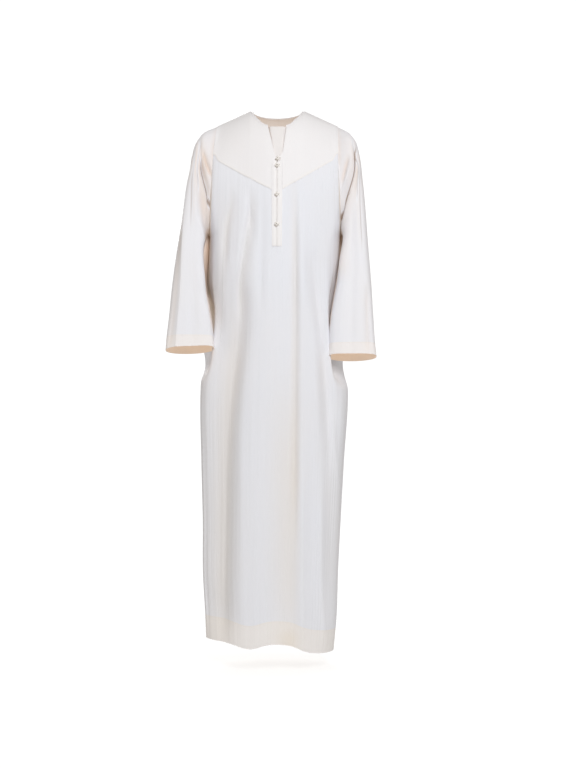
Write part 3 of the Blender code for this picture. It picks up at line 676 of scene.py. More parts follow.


# the dark brown is the colour of the painted shade in creases and hollows
plainCloth = {
    "roughness": 0.62, "threads": 2400.0, "bias": -0.1, "streaks": 0.03, "tintShare": 0.9,
    "paintedShade": (0.33, 0.22, 0.15), "paintedShadeShare": 0.85, "seamShare": 0.03,
    "bump": 0.30, "bumpHeight": 0.00012, "pucker": 0.5, "puckerHeight": 0.0016, "puckerReach": 0.014,
    # a painted warm glow on all cloth, though it is no lamp
    "drape": 0.45, "drapeHeight": 0.003, "narrowShare": 0.35, "glow": 0.03, "through": (1.0, 0.90, 0.80),
}
insideCloth = plainCloth | {
    "roughness": 0.66, "bias": 0.2, "bump": 0.25, "drape": 0.3, "pucker": 0.4,
    "tint": (0.800, 0.670, 0.540), "tintShare": 0.3, "seam": (0.62, 0.52, 0.44),
    "banded": (0.865, 0.765, 0.670), "bandShare": 0.8, "bandDepth": 0.062,
}
looks = {
    "single": plainCloth | {
        "cool": (0.798, 0.808, 0.858), "warm": (0.822, 0.813, 0.838), "tint": (0.800, 0.715, 0.610),
        "banded": (0.858, 0.822, 0.800), "bandShare": 0.85, "bandDepth": 0.062, "seam": (0.66, 0.61, 0.57),
        "drape": 0.65,
    },
    "sleeve": plainCloth | {
        "cool": (0.835, 0.836, 0.878), "warm": (0.858, 0.840, 0.850), "tint": (0.790, 0.625, 0.500),
        "banded": (0.895, 0.858, 0.848), "bandShare": 0.9, "bandDepth": 0.033, "seam": (0.68, 0.63, 0.60),
    },
    "doubled": plainCloth | {
        "cool": (0.846, 0.832, 0.848), "warm": (0.860, 0.832, 0.832), "tint": (0.790, 0.720, 0.665),
        "banded": (0.880, 0.855, 0.845), "bandShare": 0.5, "bandDepth": 0.008, "seam": (0.70, 0.655, 0.62),
        "roughness": 0.58, "bias": 0.0, "bump": 0.28, "drape": 0.2, "tintShare": 0.8, "pucker": 0.4,
    },
    # the insides are cream, warmed further and given a stronger glow as painted warm light bounced about
    # inside the cloth, most in the sleeves
    "bodyInside": insideCloth | {
        "cool": (0.865, 0.835, 0.815), "warm": (0.870, 0.825, 0.790), "glow": 0.11,
    },
    "sleeveInside": insideCloth | {
        "cool": (0.880, 0.795, 0.715), "warm": (0.885, 0.780, 0.675), "glow": 0.19,
    },
}
finishes = {name: clothMaterial(name + "Cloth", look) for name, look in looks.items()}


def cordMaterial(name, colour, grooveShade, roughness):
    # rolled cloth: fine slanted strands, with painted shade in the grooves between them
    material, tree, shader = newMaterial(name, roughness)
    place = addNode(tree, "TexCoord").outputs["Object"]
    strands = noiseAt(tree, place, "strands")
    soft = sharedNoise(tree, place, "softStrands")
    share = maths(tree, "ADD", maths(tree, "MULTIPLY", strands, shares["strands"]), soft, clamp=True)
    fill(tree, shader, {"Base Color": mixColour(tree, share, grooveShade, colour),
                        "Normal": bumpFrom(tree, strands, *strandBump)})
    return material


cordFinish = cordMaterial("knotCord", (0.95, 0.925, 0.895), (0.84, 0.79, 0.745), 0.6)
threadFinish = cordMaterial("sewingThread", (0.84, 0.79, 0.75), (0.68, 0.61, 0.56), 0.45)
print("materials made")


def bodyAcross(face, columns, level):
    # the front's columns are led to the slit, and the back's stay where they are
    return slitAcross(columns, level) if face < 0 else np.broadcast_to(columns, level.shape)


def bodyGrid(face, across, levels):
    # the body's surface under a grid, its normals and its tint
    points, tint = bodySurface(face, across, levels, details=True)
    return points, outward(face, across, levels), tint


def bodySheet(name, node, columns, points, normals, levels, edge, tint, keep=True, finish="doubled",
              slot="doubled_cloth", lift=0.0):
    # a cloth shell on a grid over the body; its uv is metres across at hip height and metres down
    quads = gridQuads(*levels.shape)
    quads = quads[np.broadcast_to(keep, quads.shape[:2])]
    width, edge = np.broadcast_arrays(body["hipWidth"] * np.arcsin(columns), edge + 0 * levels)
    uv = np.stack([width, levels], axis=-1).reshape(-1, 2)
    # the tint carries painted warm shade and, where negative, painted dark shade
    values = {"edgeDistance": edge.ravel(), "tint": np.clip(tint, -1, 1).ravel()}
    materials = (finishes[finish], finishes["bodyInside"])
    return clothShell(name, points.reshape(-1, 3), quads, uv, values, materials, (node,), slot, lift,
                      normals.reshape(-1, 3))


# front and back panels

def makePanel(face, name, node):
    columns = frontColumns() if face < 0 else backColumns()
    levels = rowLevels(face, columns)
    across = bodyAcross(face, columns, levels)
    points, normals, tint = bodyGrid(face, across, levels)
    # painted warm shade beside the arms, added to the folds' painted shade
    arm = body["armShadeTint"]
    beside = smoothStep(levels, *arm["start"]) * (1 - smoothStep(levels, *arm["end"]))
    tint = tint + beside * smoothStep(np.abs(across / across[:, :1]), *arm["across"])
    middle = np.abs(columns[:-1] + columns[1:]) / 2 < placket["slitColumn"]
    slit = middle & (levels[:-1, :-1] < placket["end"]) & (face < 0)
    return bodySheet(name, node, columns, points, normals, levels, hemLevel(face, across) - levels, tint,
                     keep=~slit, finish="single", slot="cloth")


frontPanel = makePanel(-1, "frontPanel", "front_panel")
backPanel = makePanel(1, "backPanel", "back_panel")
print("panels made:", len(frontPanel.data.polygons), len(backPanel.data.polygons))

# yokes

yoke = {
    "armholeTurn": np.pi * 5 / 14,  # where it ends on the armhole, as a turn from the shoulder
    "tip": 0.238,
    "rise": 0.63,  # how fast the chevron rises with x
    "back": 0.150,
    "rows": 46,
    "gap": 0.002,  # half the way between the two fronts, where the chevron starts
    "edge": 0.1,  # share of across over which it's led to the armhole
    "lap": 0.002,  # how far its corners reach down over the strips
    "welt": 0.0001,  # how far its folded edge stands up
    "weltEdge": (0.0042, 0.0091),
}


def yokeLevel(face, across):
    # straight across the back, a chevron in front, both led to one place on the armhole
    atArmhole = body["underarm"] * (1 - math.cos(yoke["armholeTurn"])) / 2
    middle, half = bodyWidth(np.array(0.0))
    x = middle + half * across
    if face < 0:
        anchors = [placket["slitColumn"], placket["stripColumn"], placket["freeColumn"]]
        places = [yoke["gap"], yoke["gap"] + placket["stripWidth"], placket["freeColumn"] * half]
        x = np.where(np.abs(across) < placket["freeColumn"], np.interp(np.abs(across), anchors, places), x)
    height = yoke["tip"] - yoke["rise"] * np.abs(x) if face < 0 else yoke["back"]
    drop = shoulderDrop(x)
    middle = (height - drop) / (1 - drop / body["underarm"])
    return atArmhole + (middle - atArmhole) * smoothStep(1 - np.abs(across), 0, yoke["edge"])


def makeYoke(face, columns, name, node):
    top = neckDrop(face, columns)
    bend = 1 - np.cos(np.linspace(0, np.pi / 2, yoke["rows"]))
    levels = top + (yokeLevel(face, columns) - top) * bend[:, None]
    points, normals, tint = bodyGrid(face, bodyAcross(face, columns, levels), levels)
    low = levels[-1] - levels
    welt = yoke["welt"] * (1 - smoothStep(low, *yoke["weltEdge"]))
    inner = np.abs(columns[:-1] + columns[1:]) / 2 < placket["stripColumn"]
    under = inner & (levels[:-1, :-1] > placket["stripTop"] + yoke["lap"]) & (face < 0)
    # the folds' painted warm shade, at half strength on the doubled cloth
    return bodySheet(name, node, columns, points + normals * welt[..., None], normals, levels, low,
                     0.5 * np.clip(tint, -1, 1), keep=~under, lift=cloth["layer"])


columns = frontColumns()
slit = placket["slitColumn"] - 1e-9  # so that the slit's own columns are among them
yokes = {
    "right": makeYoke(-1, columns[columns < -slit], "frontYokeRight", "front_yoke_right"),
    "left": makeYoke(-1, columns[columns > slit], "frontYokeLeft", "front_yoke_left"),
    "back": makeYoke(1, backColumns(), "backYoke", "back_yoke"),
}
print("yokes made")

# placket strips and the underlap between them

def makeStrip(side, node):
    # from the slit's edge outwards, with both folded edges rolled down by 1 - (steepness share)^2
    slit, strip = placket["slitColumn"], placket["stripColumn"]
    count, rows = placket["stripGrid"]
    columns = np.sort(sideSign[side] * np.linspace(slit, strip, count))
    levels = np.linspace(placket["stripTop"], placket["stripEnd"], rows)[:, None] + 0 * columns
    points, normals, tint = bodyGrid(-1, bodyAcross(-1, columns, levels), levels)
    share = (np.abs(columns) - slit) / (strip - slit)
    inner = np.minimum(1, placket["rollSteepness"] * np.minimum(share, 1 - share))
    points = points + normals * (placket["stripRoll"] * inner**2)[:, None]
    return bodySheet("placketStrip" + side.capitalize(), node, columns, points, normals, levels,
                     placket["stripWidth"] * share, 0 * tint, lift=cloth["layer"] + placket["stripRise"])


def makeUnderlap():
    # under the strips, and seen as a tab where the slit is open, with a shadow down either side of it
    count, rows = placket["underlapGrid"]
    columns = np.linspace(-placket["stripColumn"], placket["stripColumn"], count)
    top = neckDrop(-1, columns) - placket["tabRise"]
    levels = top + np.linspace(0, 1, rows)[:, None] * (placket["underlapEnd"] - top)
    points, normals, tint = bodyGrid(-1, bodyAcross(-1, columns, levels), levels)
    closed = placket["stripTop"]
    parted = 1 - smoothStep(levels, closed - placket["tabFade"], closed)
    ends = (placket["level"][0], closed)
    right = np.interp(levels, ends, placket["tabRight"]) - points[..., 0]
    left = points[..., 0] - np.interp(levels, ends, placket["tabLeft"])
    beside = smoothStep(np.maximum(right, left), *placket["tabEdge"]) * parted
    points = points - normals * (placket["tabDepth"] * parted + placket["tabDrop"] * beside)[..., None]
    # painted shadows down either side of the tab, and painted warm shade over the tab itself
    shadow = np.where(right > left, placket["tabShadow"]["right"], placket["tabShadow"]["left"])
    tint = placket["tabShadeTint"] + beside * (shadow - placket["tabShadeTint"])
    return bodySheet("placketUnderlap", "placket_underlap", columns, points, normals, levels, levels - top,
                     tint, lift=-cloth["layer"])


strips = {side: makeStrip(side, "placket_strip_" + side) for side in ("right", "left")}
underlap = makeUnderlap()
print("placket made")

# turned-up hem, inside the body

def makeTurnUp(face):
    columns = frontColumns() if face < 0 else backColumns()
    low = hemLevel(face, columns)
    levels = low - body["hemDepth"] * np.linspace(1, 0, body["hemRows"])[:, None]
    points, normals, tint = bodyGrid(face, columns, levels)
    name = faceName[face]
    return bodySheet("hemTurnUp" + name.capitalize(), "hem_turnup_" + name, columns, points, normals, levels,
                     low - levels, tint, lift=-cloth["layer"])


turnUps = {face: makeTurnUp(face) for face in (-1, 1)}
print("hem made")

# neck binding

rolled = {
    "rows": 9,
    "frontColumns": 40,
    "backColumns": 70,
    "height": 0.0011,
    "fullness": 0.7,
    "width": 0.005,  # of the cloth in its roll
    "pitch": 0.003,  # of the cloth from column to column
}


def makeBinding():
    # from the slit's left edge round the back to its right edge, rolled up as sin(pi step)^fullness
    edge, share = placket["slitColumn"], body["neckShare"]
    runs = [(-1, np.linspace(edge, share, rolled["frontColumns"], endpoint=False)),
            (1, np.linspace(share, -share, rolled["backColumns"], endpoint=False)),
            (-1, np.linspace(-share, -edge, rolled["frontColumns"]))]
    steps = np.linspace(0, 1, rolled["rows"])[:, None]
    scale = body["bindingScale"] + (1 - body["bindingScale"]) * steps
    parts, ways = [], []
    for face, across in runs:
        level = scale * neckDrop(face, across)
        led = bodyAcross(face, across, level) * scale
        parts.append(bodySurface(face, led, level))
        ways.append(outward(face, led, level))
    points, normals = np.hstack(parts), np.hstack(ways)
    points = points + normals * rolled["height"] * np.sin(np.pi * steps[..., None]) ** rolled["fullness"]
    quads = gridQuads(*points.shape[:2]).reshape(-1, 4)
    run = np.arange(points.shape[1]) * rolled["pitch"]
    uv = np.stack(np.broadcast_arrays(run, steps * rolled["width"]), axis=-1).reshape(-1, 2)
    values = {"edgeDistance": np.ones(len(uv)), "tint": np.zeros(len(uv))}
    return clothShell("neckBinding", points.reshape(-1, 3), quads, uv, values,
                      (finishes["doubled"], finishes["bodyInside"]), ("neck_binding",), "binding")


binding = makeBinding()
print("binding made")

# sleeves

# a row of columns for each section from the armhole down: outer and inner edge, middle, half depth, and
# the slack of the cloth that hangs behind the arm
sleeveTables = {
    "right": inMetres({
        "outerX": [-200, -222.5, -232.5, -240.5, -250.2, -270, -283.8, -293.8, -299.2, -301.5],
        "outerZ": [-60, -88, -120, -180, -242, -359, -463, -570, -623, -656],
        "innerX": [-192.5, -194, -195.5, -197, -199, -203, -196, -179, -173.5, -171],
        "innerZ": [-338.5, -344, -348, -353, -360, -390, -472, -570, -623, -651],
        "middleY": [0, -1, -3, -6, -10, -20, -36, -54, -64, -68],
        "halfDepth": [75, 77, 78, 78.5, 78, 74, 62, 48, 40, 37],
        "slack": [0, 10, 18, 22, 24, 23, 8, 0, 0, 0],
    }),
    "left": inMetres({
        "outerX": [196, 212, 221.5, 229, 235, 243.5, 251.8, 257.2, 261.5, 265],
        "outerZ": [-64, -86, -120, -180, -242, -359, -470, -570, -640, -673],
        "innerX": [176.5, 177.5, 178, 178, 177.5, 172, 156.2, 140.5, 137, 136],
        "innerZ": [-338.5, -344, -348, -353, -360, -390, -478, -573, -642, -674],
        "middleY": [0, -1, -3, -6, -10, -22, -40, -58, -68, -71],
        "halfDepth": [75, 77, 78, 78.5, 78, 74, 62, 48, 40, 37],
        "slack": [0, 10, 15, 18, 19, 14, 3, 0, 0, 0],
    }),
}

sleeve = {
    "around": 308,
    "along": 150,
    "topRows": 0.35,  # how much closer together the rows are at the armhole, 0 to 1
    "evenRing": 5,  # the section whose columns are spaced evenly
    "slackFullness": 0.7,
    "innerFrontPower": 0.45,  # 1 is an ellipse, less is squarer
    "outerFrontPower": 0.58,
    "cuffTilt": 0.010,  # how much lower the back of the cuff hangs than its front
    "tiltShare": 0.6,  # share of the length at which that starts
    "cuffDepth": 0.033,
    "cuffRows": 14,
    "fineSteps": 6001,  # for measuring round a ring
    "foldGrowth": 1.6,  # how fast the folds grow from the edges between front and back
    "creaseStart": 0.016,  # share of the length over which they grow from the armhole
}

# how warm each place is, as painted warm shade behind the arm, towards the body and down the
# armhole seam and as a cream over the cap, and how dark the hollow under each arm is painted: the levels
# over which it comes or goes, how far the cloth has turned to the body, -cos(turn), and its bound
# between front and back, in sin(turn)
sleeveTints = {
    "behind": {"tint": 0.9, "levels": (0.30, 0.36), "inner": (0.1, 0.7)},  # the back, from the underarm down
    "facing": {"tint": 0.7, "levels": (0.56, 0.62), "inner": (0.80, 0.98)},  # the side towards the body
    "cap": {"tint": 0.17, "levels": (0.10, 0.24), "front": 0.2},  # over the shoulder
    "seam": {"tint": 0.30, "levels": (0.13, 0.19), "width": 0.010},  # the upper armhole seam
    "hollow": {"right": 0.85, "left": 0.15, "inner": (0.5, 0.9), "front": 0.2,
               "start": (0.37, 0.47), "end": (0.50, 0.515)},
}

sleeveCreases = {
    "right": {
        "front": [
            # the crisp crease from the shoulder to the underarm, then what lies between it and the body
            fold([(100, -212), (137, -208.5), (167, -206), (190, -200.8)],
                 4, 9, -8, power=1.0, tint=0.25, fade=30),
            fold([(137, -208.5), (167, -206), (196, -199.2), (226, -191.4),
                  (252, -184.8), (284, -178.3), (315, -176.2)],
                 3.6, 10, -11, power=1.0, tint=0.25, line=2.1, fade=35),
            fold([(113, -207), (172, -192), (226, -178.8)], 5, 4, 4, fade=20),
            fold([(121, -200.2), (161, -187.3), (189, -176.1)], 5, 6, -7, tint=0.45, fade=20),
            fold([(90, -212), (150, -216.5), (215, -213.5)],
                 4, 6, -3.5, power=1.3, tint=0.35, line=1.1, fade=30),
            fold([(120, -226), (210, -229), (300, -233)],
                 5, 9, -3, power=1.4, tint=0.25, line=0.7, fade=50),
            fold([(120, -212), (200, -199), (300, -186)], 20, 20, -2, tint=0.3, fade=40),
            # the front's inner and outer borders, and a faint line down the middle
            fold([(180, -220.8), (301, -216.3), (335, -205.6), (418, -198.5), (480, -194)],
                 20, 8, 6, power=1.4, fade=30),
            fold([(225, -205), (300, -196), (400, -186)], 10, 12, -3, tint=0.35, fade=40),
            fold([(180, -235), (301, -249.8), (520, -261.8), (633, -271.2), (700, -275)],
                 5, 26, 4.5, power=1.2, fade=50),
            fold([(300, -264), (520, -278), (660, -292)], 10, 10, -4, tint=0.25, fade=60),
            fold([(420, -223), (660, -229)], 14, 14, -3, fade=80),
        ],
        "back": [
            fold([(115, -213), (220, -197), (300, -190)], 4, 12, -11, power=1.1, tint=0.6, fade=30),
            fold([(150, -233), (400, -225)], 10, 12, -5, fade=50),
            fold([(330, -248), (600, -256)], 16, 10, -5, fade=80),
        ],
    },
    "left": {
        "front": [
            fold([(113, 213.5), (140, 210.3), (185, 202.3), (229, 188.9), (274, 175.5), (316, 165.5)],
                 10, 3.6, -12, power=1.0, tint=0.28, line=2.0, fade=30),
            fold([(95, 202), (150, 216), (240, 213)], 6, 4, -3.5, power=1.3, tint=0.35, line=1.1, fade=30),
            fold([(150, 224), (260, 221.5), (360, 225)], 9, 5, -3, power=1.4, tint=0.25, line=0.7, fade=50),
            fold([(134, 198.8), (226, 174.7)], 4, 5, 4, fade=20),
            fold([(140, 186.7), (204, 170.7)], 5, 5, -6, tint=0.4, fade=20),
            fold([(150, 215), (226, 196.5), (293, 182), (360, 175), (450, 168)],
                 7, 16, 6, power=1.4, tint=0.3, fade=30),
            fold([(180, 220), (300, 202), (400, 196)], 10, 10, -3, fade=40),
            fold([(500, 240), (660, 242.2)], 10, 6, -5, power=1.5, tint=0.2, fade=40),
            fold([(360, 205), (660, 195)], 16, 12, -3, fade=80),
        ],
        "back": [
            fold([(110, 208), (210, 193), (300, 180)], 12, 4, -11, power=1.1, tint=0.6, fade=30),
            fold([(150, 218), (400, 208)], 12, 10, -5, fade=50),
            fold([(360, 228), (620, 230)], 10, 16, -5, fade=80),
        ],
    },
}


def sleeveRings(side, turn):
    # the armhole's own curve, then ellipses between each section's outer and inner edge, squarer in
    # front, where cos and sin are raised to a power, with slack cloth behind the arm hanging towards the
    # body as (2 sin cos)^fullness
    table = {key: values[:, None] for key, values in sleeveTables[side].items()}
    armhole = bodySurface(-1, sideSign[side] + 0 * turn, body["underarm"] * (1 - np.cos(turn)) / 2)
    armhole[:, 1] = -body["armholeHalfDepth"] * np.sin(turn)
    cos, sin = np.cos(turn), np.sin(turn)
    innerBack = np.clip(-sin, 0, 1) * np.clip(-cos, 0, 1)
    power = np.where(sin > 0, np.where(cos < 0, sleeve["innerFrontPower"], sleeve["outerFrontPower"]), 1)
    cos, sin = (np.sign(wave) * np.abs(wave) ** power for wave in (cos, sin))
    ends = ((table["outer" + key], table["inner" + key]) for key in "XZ")
    x, z = ((outer + inner) / 2 + cos * (outer - inner) / 2 for outer, inner in ends)
    y = table["middleY"] - sin * table["halfDepth"]
    x = x - sideSign[side] * table["slack"] * (2 * innerBack) ** sleeve["slackFullness"]
    share = np.linspace(0, 1, len(x))[:, None]
    z = z + sleeve["cuffTilt"] * smoothStep(share, sleeve["tiltShare"], 1.0) * sin
    return np.concatenate([armhole[None], np.stack([x, y, z], axis=-1)])


def evenTurns(side):
    # turns at even distances round the elbow's ring; way is that distance
    fine = np.linspace(0, 2 * np.pi, sleeve["fineSteps"])
    way = wayAlong(sleeveRings(side, fine)[sleeve["evenRing"]])
    places = np.linspace(0, way[-1], sleeve["around"], endpoint=False)
    return np.interp(places, way, fine), places


def sleeveCloth(side, share):
    # rings of points at these shares of the sleeve's length, a cubic through the sections, pushed along
    # their normals by the creases; the front takes one table and the back the other, fading at the edges
    turn, way = evenTurns(side)
    rings = sleeveRings(side, turn)
    places = wayAlong(rings.mean(axis=1))
    length = places[-1]
    points = readCurve(places, rings, share * length)
    if side == "left":
        points = np.roll(points[:, ::-1], 1, axis=1)
        turn, way = np.roll(turn[::-1], 1), np.roll(way[::-1], 1)
    quads = gridQuads(*points.shape[:2], wraps=True).reshape(-1, 4)
    normals = pointNormals(points.reshape(-1, 3), quads).reshape(points.shape)
    level = -points[..., 2]
    sin, inner = np.sin(turn), -np.cos(turn)
    share = share[:, None]
    height = np.zeros(level.shape)
    tint = np.zeros(level.shape)
    for part, sign in (("front", 1), ("back", -1)):
        rise, colour = foldHeight(sleeveCreases[side][part], points[..., 0], level)
        mask = np.clip(sign * sin * sleeve["foldGrowth"], 0, 1)
        height += rise * mask * smoothStep(share, 0.0, sleeve["creaseStart"])
        tint += colour * mask
    # painted warm shade where the sleeve turns from the light, and the painted dark of the hollow under the
    # arm
    behind, facing, cap, seam, hollow = sleeveTints.values()
    turned = np.clip(-sin, 0, 1) ** 0.5 * smoothStep(inner, *behind["inner"])
    tint += behind["tint"] * turned * smoothStep(level, *behind["levels"])
    tint += facing["tint"] * smoothStep(inner, *facing["inner"]) * (1 - smoothStep(level, *facing["levels"]))
    tint += cap["tint"] * np.clip(sin + cap["front"], 0, 1) * (1 - smoothStep(level, *cap["levels"]))
    near = 1 - smoothStep(share * length, 0.0, seam["width"])
    tint += seam["tint"] * near * np.clip(sin, 0, 1) * (1 - smoothStep(level, *seam["levels"]))
    shade = hollow[side] * smoothStep(level, *hollow["start"]) * (1 - smoothStep(level, *hollow["end"]))
    shade = shade * smoothStep(inner, *hollow["inner"]) * (sin < hollow["front"])
    points = points + normals * height[..., None]
    uv = np.stack(np.broadcast_arrays(way, share * length), axis=-1).reshape(-1, 2)
    edge = (1 - share) * length + 0 * turn
    values = {"edgeDistance": edge.ravel(), "tint": np.clip(tint, -1, 1).ravel(), "shade": shade.ravel()}
    return points.reshape(-1, 3), quads, uv, values, length


def makeSleeve(side, node):
    share = np.linspace(0, 1, sleeve["along"])
    share = share * (1 - sleeve["topRows"] * (1 - share))
    made = sleeveCloth(side, share)[:4]
    return clothShell("sleeve" + side.capitalize(), *made, (finishes["sleeve"], finishes["sleeveInside"]),
                      (node,), "cloth")


def makeCuff(side, node):
    length = sleeveCloth(side, np.linspace(0, 1, 3))[-1]
    made = sleeveCloth(side, np.linspace(1 - sleeve["cuffDepth"] / length, 1, sleeve["cuffRows"]))[:4]
    return clothShell("cuffTurnUp" + side.capitalize(), *made, (finishes["sleeveInside"],) * 2, (node,),
                      "doubled_cloth", lift=-cloth["layer"])


sleeves = {side: makeSleeve(side, "sleeve_" + side) for side in ("right", "left")}
cuffs = {side: makeCuff(side, "cuff_turnup_" + side) for side in ("right", "left")}
print("sleeves made")

# buttons and loops

knot = {
    "radius": 0.0042,
    "cord": 0.00145,
    "leads": 3,
    "bights": 4,
    "reach": 0.95,  # how far towards the poles the cord swings, in radians
    "weave": 0.00045,
    "steps": 260,
    "stand": 0.0055,  # from the solid's front to the knot's middle
}

cordLoop = {
    "cord": 0.0009,
    "bow": 0.0048,  # radius of the bow round the button's shank
    "turn": (40, 320),  # degrees of the bow's two ends
    "stand": 0.0056,  # from the solid's end to the bow's middle
    "legs": 0.0026,  # half the distance between the sewn ends
}


def makeButton(number):
    # a Turk's head: the cord goes round the ball three times while it swings four times from pole to pole
    low, high = (np.array(corner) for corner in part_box(f"button_{number}"))
    centre = (low + high) / 2
    centre[1] = low[1] + knot["stand"]
    t = np.linspace(0, 2 * np.pi, knot["steps"], endpoint=False)
    around = knot["leads"] * t
    rise = knot["reach"] * np.sin(knot["bights"] * t)
    radius = knot["radius"] + knot["weave"] * np.cos(knot["leads"] * knot["bights"] * t)
    ball = np.stack([np.cos(rise) * np.cos(around), -np.sin(rise), np.cos(rise) * np.sin(around)], axis=-1)
    path = centre + radius[:, None] * ball
    mesh = tubeMesh(f"button{number}", path, knot["cord"], reference=(0.31, 0.2, 0.93), closed=True)
    return addPiece(f"button{number}", mesh, (cordFinish,), (f"button_{number}",))


def makeLoop(number):
    # a round bow with a straight leg from either end of it
    low, high = (np.array(corner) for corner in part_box(f"loop_{number}"))
    middle = (low + high) / 2
    bow = np.radians(np.linspace(*cordLoop["turn"], 40))
    arc = cordLoop["bow"] * np.stack([np.cos(bow), 0 * bow, np.sin(bow)], axis=-1)
    arc += [low[0] + cordLoop["stand"], middle[1], middle[2]]
    legs = np.linspace(0, 1, 10)[:, None]
    start, end = (np.array([high[0], middle[1], middle[2] + way * cordLoop["legs"]]) for way in (1, -1))
    path = np.vstack([start + (arc[0] - start) * legs[:-1], arc, arc[-1] + (end - arc[-1]) * legs[1:]])
    mesh = tubeMesh(f"loop{number}", path, cordLoop["cord"])
    return addPiece(f"loop{number}", mesh, (cordFinish,), (f"loop_{number}",))


for number in range(1, 5):
    makeButton(number)
for number in range(1, 5):
    makeLoop(number)
print("buttons made")

# stitches

stitch = {
    "pitch": 0.0027,  # from one stitch to the next
    "length": 0.0020,
    "radius": 0.00019,
    "flatness": 0.6,  # height over width
    "sides": 6,
    "rings": [(-0.44, 0.62), (-0.25, 1.0), (0.25, 1.0), (0.44, 0.62)],  # shares of its length and radius
    "inset": 0.0022,  # from a seam's edge to its row of stitches
    "neckInset": 0.0035,
    "reach": 0.985,  # how far across a row runs
    "stripRows": (0.13, 0.87),  # shares of the strip's width
    "stripStart": 0.155,  # level at which those begin
    "openRow": 0.15,
    "openLevels": (0.061, 0.148),  # the ends of the rows beside the open slit
    "stripGap": 0.01,  # across, from the strips to the yoke's rows
    "slitGap": 0.02,  # across, from the slit to the neck's rows
}


def bodyRow(face, across, level, lift):
    # a line over the body's surface, lifted off it
    across = bodyAcross(face, across, level)
    normals = outward(face, across, level)
    return bodySurface(face, across, level) + normals * lift, normals


def stitchRow(line, normals):
    # small flattened capsules at even steps along the line, as triangles
    run = wayAlong(line)
    places = np.arange(stitch["pitch"] / 2, run[-1], stitch["pitch"])
    centre, ahead, behind, normal = (
        np.stack([np.interp(places + step, run, rows[:, i]) for i in range(3)], axis=-1)
        for step, rows in ((0, line), (1e-4, line), (-1e-4, line), (0, normals)))
    along = unit(ahead - behind)
    side = unit(np.cross(along, normal))
    angle = np.linspace(0, 2 * np.pi, stitch["sides"], endpoint=False)
    reach, width = (np.array(stitch["rings"]) * [stitch["length"], stitch["radius"]]).T[..., None]
    ring = np.broadcast_arrays(reach, width * np.cos(angle), width * np.sin(angle) * stitch["flatness"])
    tips = [[way * stitch["length"] / 2, 0, 0] for way in (-1, 1)]
    local = np.vstack([np.stack(ring, axis=-1).reshape(-1, 3), tips])
    points = centre[:, None] + local @ np.stack([along, side, np.cross(side, along)], axis=1)
    faces = tubeFaces(len(stitch["rings"]), stitch["sides"])
    offsets = np.arange(len(places))[:, None, None] * len(local)
    return points.reshape(-1, 3), (faces + offsets).reshape(-1, 3)


def cuffRow(side):
    # the middle one of three close rings gives the line and its normals
    length = sleeveCloth(side, np.linspace(0, 1, 3))[-1]
    share = 1 - (sleeve["cuffDepth"] - stitch["inset"]) / length + np.array([-0.004, 0, 0.004])
    points, quads, *rest = sleeveCloth(side, share)
    normals = pointNormals(points, quads).reshape(3, -1, 3)[1]
    ring = points.reshape(3, -1, 3)[1] + normals * cloth["wall"] / 2
    return np.vstack([ring, ring[:1]]), np.vstack([normals, normals[:1]])


def makeStitches():
    # rows along the yokes, above the hem, down the strips and the open slit, round the neck and the cuffs
    skin = cloth["wall"] / 2
    doubled = cloth["layer"] + skin
    slit, strip, reach = placket["slitColumn"], placket["stripColumn"], stitch["reach"]
    rows = []
    for start, end in ((-reach, -strip - stitch["stripGap"]), (strip + stitch["stripGap"], reach)):
        across = np.linspace(start, end, 160)
        rows.append(bodyRow(-1, across, yokeLevel(-1, across) - stitch["inset"], doubled + yoke["welt"]))
    across = np.linspace(-reach, reach, 300)
    rows.append(bodyRow(1, across, yokeLevel(1, across) - stitch["inset"], doubled + yoke["welt"]))
    across = np.sin(np.linspace(-0.499, 0.499, 400) * np.pi)
    for face in (-1, 1):
        rows.append(bodyRow(face, across, hemLevel(face, across) - body["hemDepth"] + stitch["inset"], skin))
    for sign in (-1, 1):
        down = np.linspace(stitch["stripStart"], placket["end"], 120)
        for share in stitch["stripRows"]:
            across = sign * (slit + (strip - slit) * share)
            rows.append(bodyRow(-1, across, down, doubled + placket["stripRise"]))
        down = np.linspace(*stitch["openLevels"], 80)
        rows.append(bodyRow(-1, sign * (slit + (strip - slit) * stitch["openRow"]), down, doubled))
        across = sign * np.linspace(slit + stitch["slitGap"], body["neckShare"] * reach, 120)
        rows.append(bodyRow(-1, across, neckDrop(-1, across) + stitch["neckInset"], doubled))
    across = np.linspace(-reach, reach, 160) * body["neckShare"]
    rows.append(bodyRow(1, across, neckDrop(1, across) + stitch["neckInset"], doubled))
    rows += [cuffRow(side) for side in ("right", "left")]
    points, faces = zip(*(stitchRow(*row) for row in rows))
    starts = np.cumsum([0] + [len(part) for part in points[:-1]])
    faces = np.vstack([part + start for part, start in zip(faces, starts)])
    mesh = meshFrom("stitching", np.vstack(points), faces)
    return addPiece("stitching", mesh, (threadFinish,), ())


stitching = makeStitches()
print("stitches made:", len(stitching.data.polygons))

# floor, light and camera

stage = {
    "floorHeight": -1.51,
    "floorRadius": 7.0,
    "floorSides": 96,
    "floorEdge": 2.2,  # distance at which the floor has faded away
    "floorFade": 1.8,  # and the length over which it fades
    "floorColour": (0.93, 0.93, 0.93),
    "floorGlow": 0.22,
    "worldColour": (1.0, 0.950, 0.880),
    "worldStrength": 0.34,
    "seenStrength": 0.75,  # what the camera sees of the world, on top of that
    "camera": (0.0274, -4.0, -0.745),
    "focalLength": 36 * 1460 / 768,
}

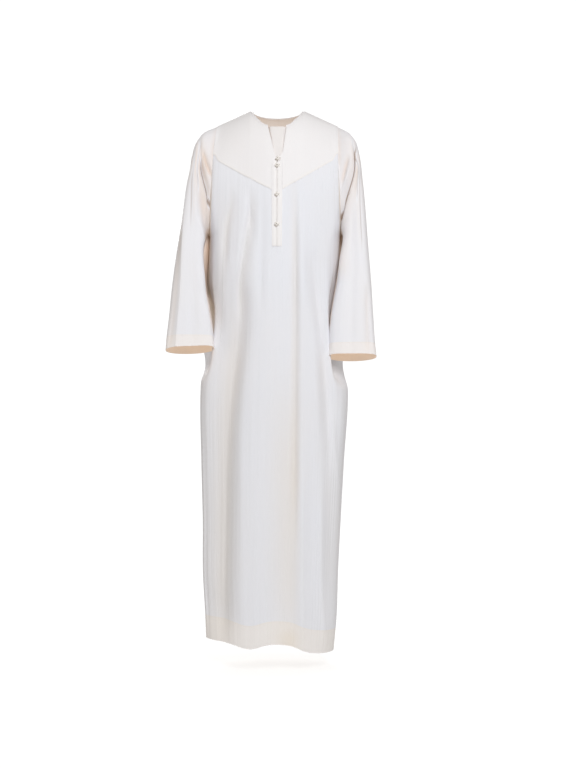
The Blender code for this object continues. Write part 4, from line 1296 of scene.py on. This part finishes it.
# name, place, aim, width and height, power, colour
lights = [
    ("key", (0.8, -3.75, 1.25), (0, 0, -0.5), (1.2, 1.6), 105, (0.940, 0.970, 1.0)),
    ("low", (0.5, -3.9, -1.2), (0, 0, -0.6), (0.8, 0.5), 4, (1.0, 0.97, 0.92)),
    ("fill", (-3.4, -1.0, -0.3), (0, 0, -0.6), (1.2, 2.2), 21, (1.0, 0.97, 0.93)),
    ("sideFill", (3.4, -1.0, -0.5), (0, 0, -0.7), (1.2, 2.2), 14, (1.0, 0.97, 0.93)),
    ("rear", (-0.8, 3.6, 0.9), (0, 0, -0.6), (1.4, 1.8), 90, (0.99, 0.99, 1.0)),
]


def addObject(name, data):
    added = bpy.data.objects.new(name, data)
    bpy.context.scene.collection.objects.link(added)
    return added


def makeFloor():
    # a pale disc that fades out towards its rim
    sides = stage["floorSides"]
    angle = np.linspace(0, 2 * np.pi, sides, endpoint=False)
    rim = stage["floorRadius"] * np.stack([np.cos(angle), np.sin(angle), 0 * angle], axis=-1)
    mesh = bpy.data.meshes.new("floor")
    mesh.from_pydata((rim + [0, 0, stage["floorHeight"]]).tolist(), [], [list(range(sides))])
    material = bpy.data.materials.new("paleFloor")
    material.use_nodes = True
    tree = material.node_tree
    length = addNode(tree, "VectorMath", {0: addNode(tree, "TexCoord").outputs["Object"]})
    length.operation = "LENGTH"
    left = maths(tree, "SUBTRACT", stage["floorEdge"], length.outputs["Value"])
    alpha = maths(tree, "DIVIDE", left, stage["floorFade"], clamp=True)
    fill(tree, tree.nodes["Principled BSDF"], {
        "Base Color": stage["floorColour"], "Roughness": 0.9, "Alpha": alpha,
        "Emission Color": (1.0, 1.0, 1.0), "Emission Strength": stage["floorGlow"]})
    mesh.materials.append(material)
    addObject("floor", mesh)


def makeWorld():
    # white where the camera looks, and a dimmer warm light elsewhere
    world = bpy.data.worlds.new("studio")
    bpy.context.scene.world = world
    world.use_nodes = True
    tree = world.node_tree
    seen = addNode(tree, "LightPath").outputs["Is Camera Ray"]
    fill(tree, tree.nodes["Background"], {
        "Color": mixColour(tree, seen, stage["worldColour"], (1.0, 1.0, 1.0)),
        "Strength": maths(tree, "MULTIPLY_ADD", seen, stage["seenStrength"], stage["worldStrength"])})


def addLight(name, place, aim, size, power, colour):
    data = bpy.data.lights.new(name, "AREA")
    data.shape = "RECTANGLE"
    data.size, data.size_y = size
    data.energy = power
    data.color = colour
    light = addObject(name, data)
    light.location = place
    light.rotation_euler = (Vector(aim) - Vector(place)).to_track_quat("-Z", "Y").to_euler()


def makeCamera():
    data = bpy.data.cameras.new("camera")
    data.sensor_width = 36
    data.lens = stage["focalLength"]
    data.clip_end = 50
    camera = addObject("camera", data)
    camera.location = stage["camera"]
    camera.rotation_euler = (math.pi / 2, 0, 0)
    bpy.context.scene.camera = camera


makeFloor()
makeWorld()
for light in lights:
    addLight(*light)
makeCamera()
bpy.context.scene.view_settings.view_transform = "Standard"
print("stage made")
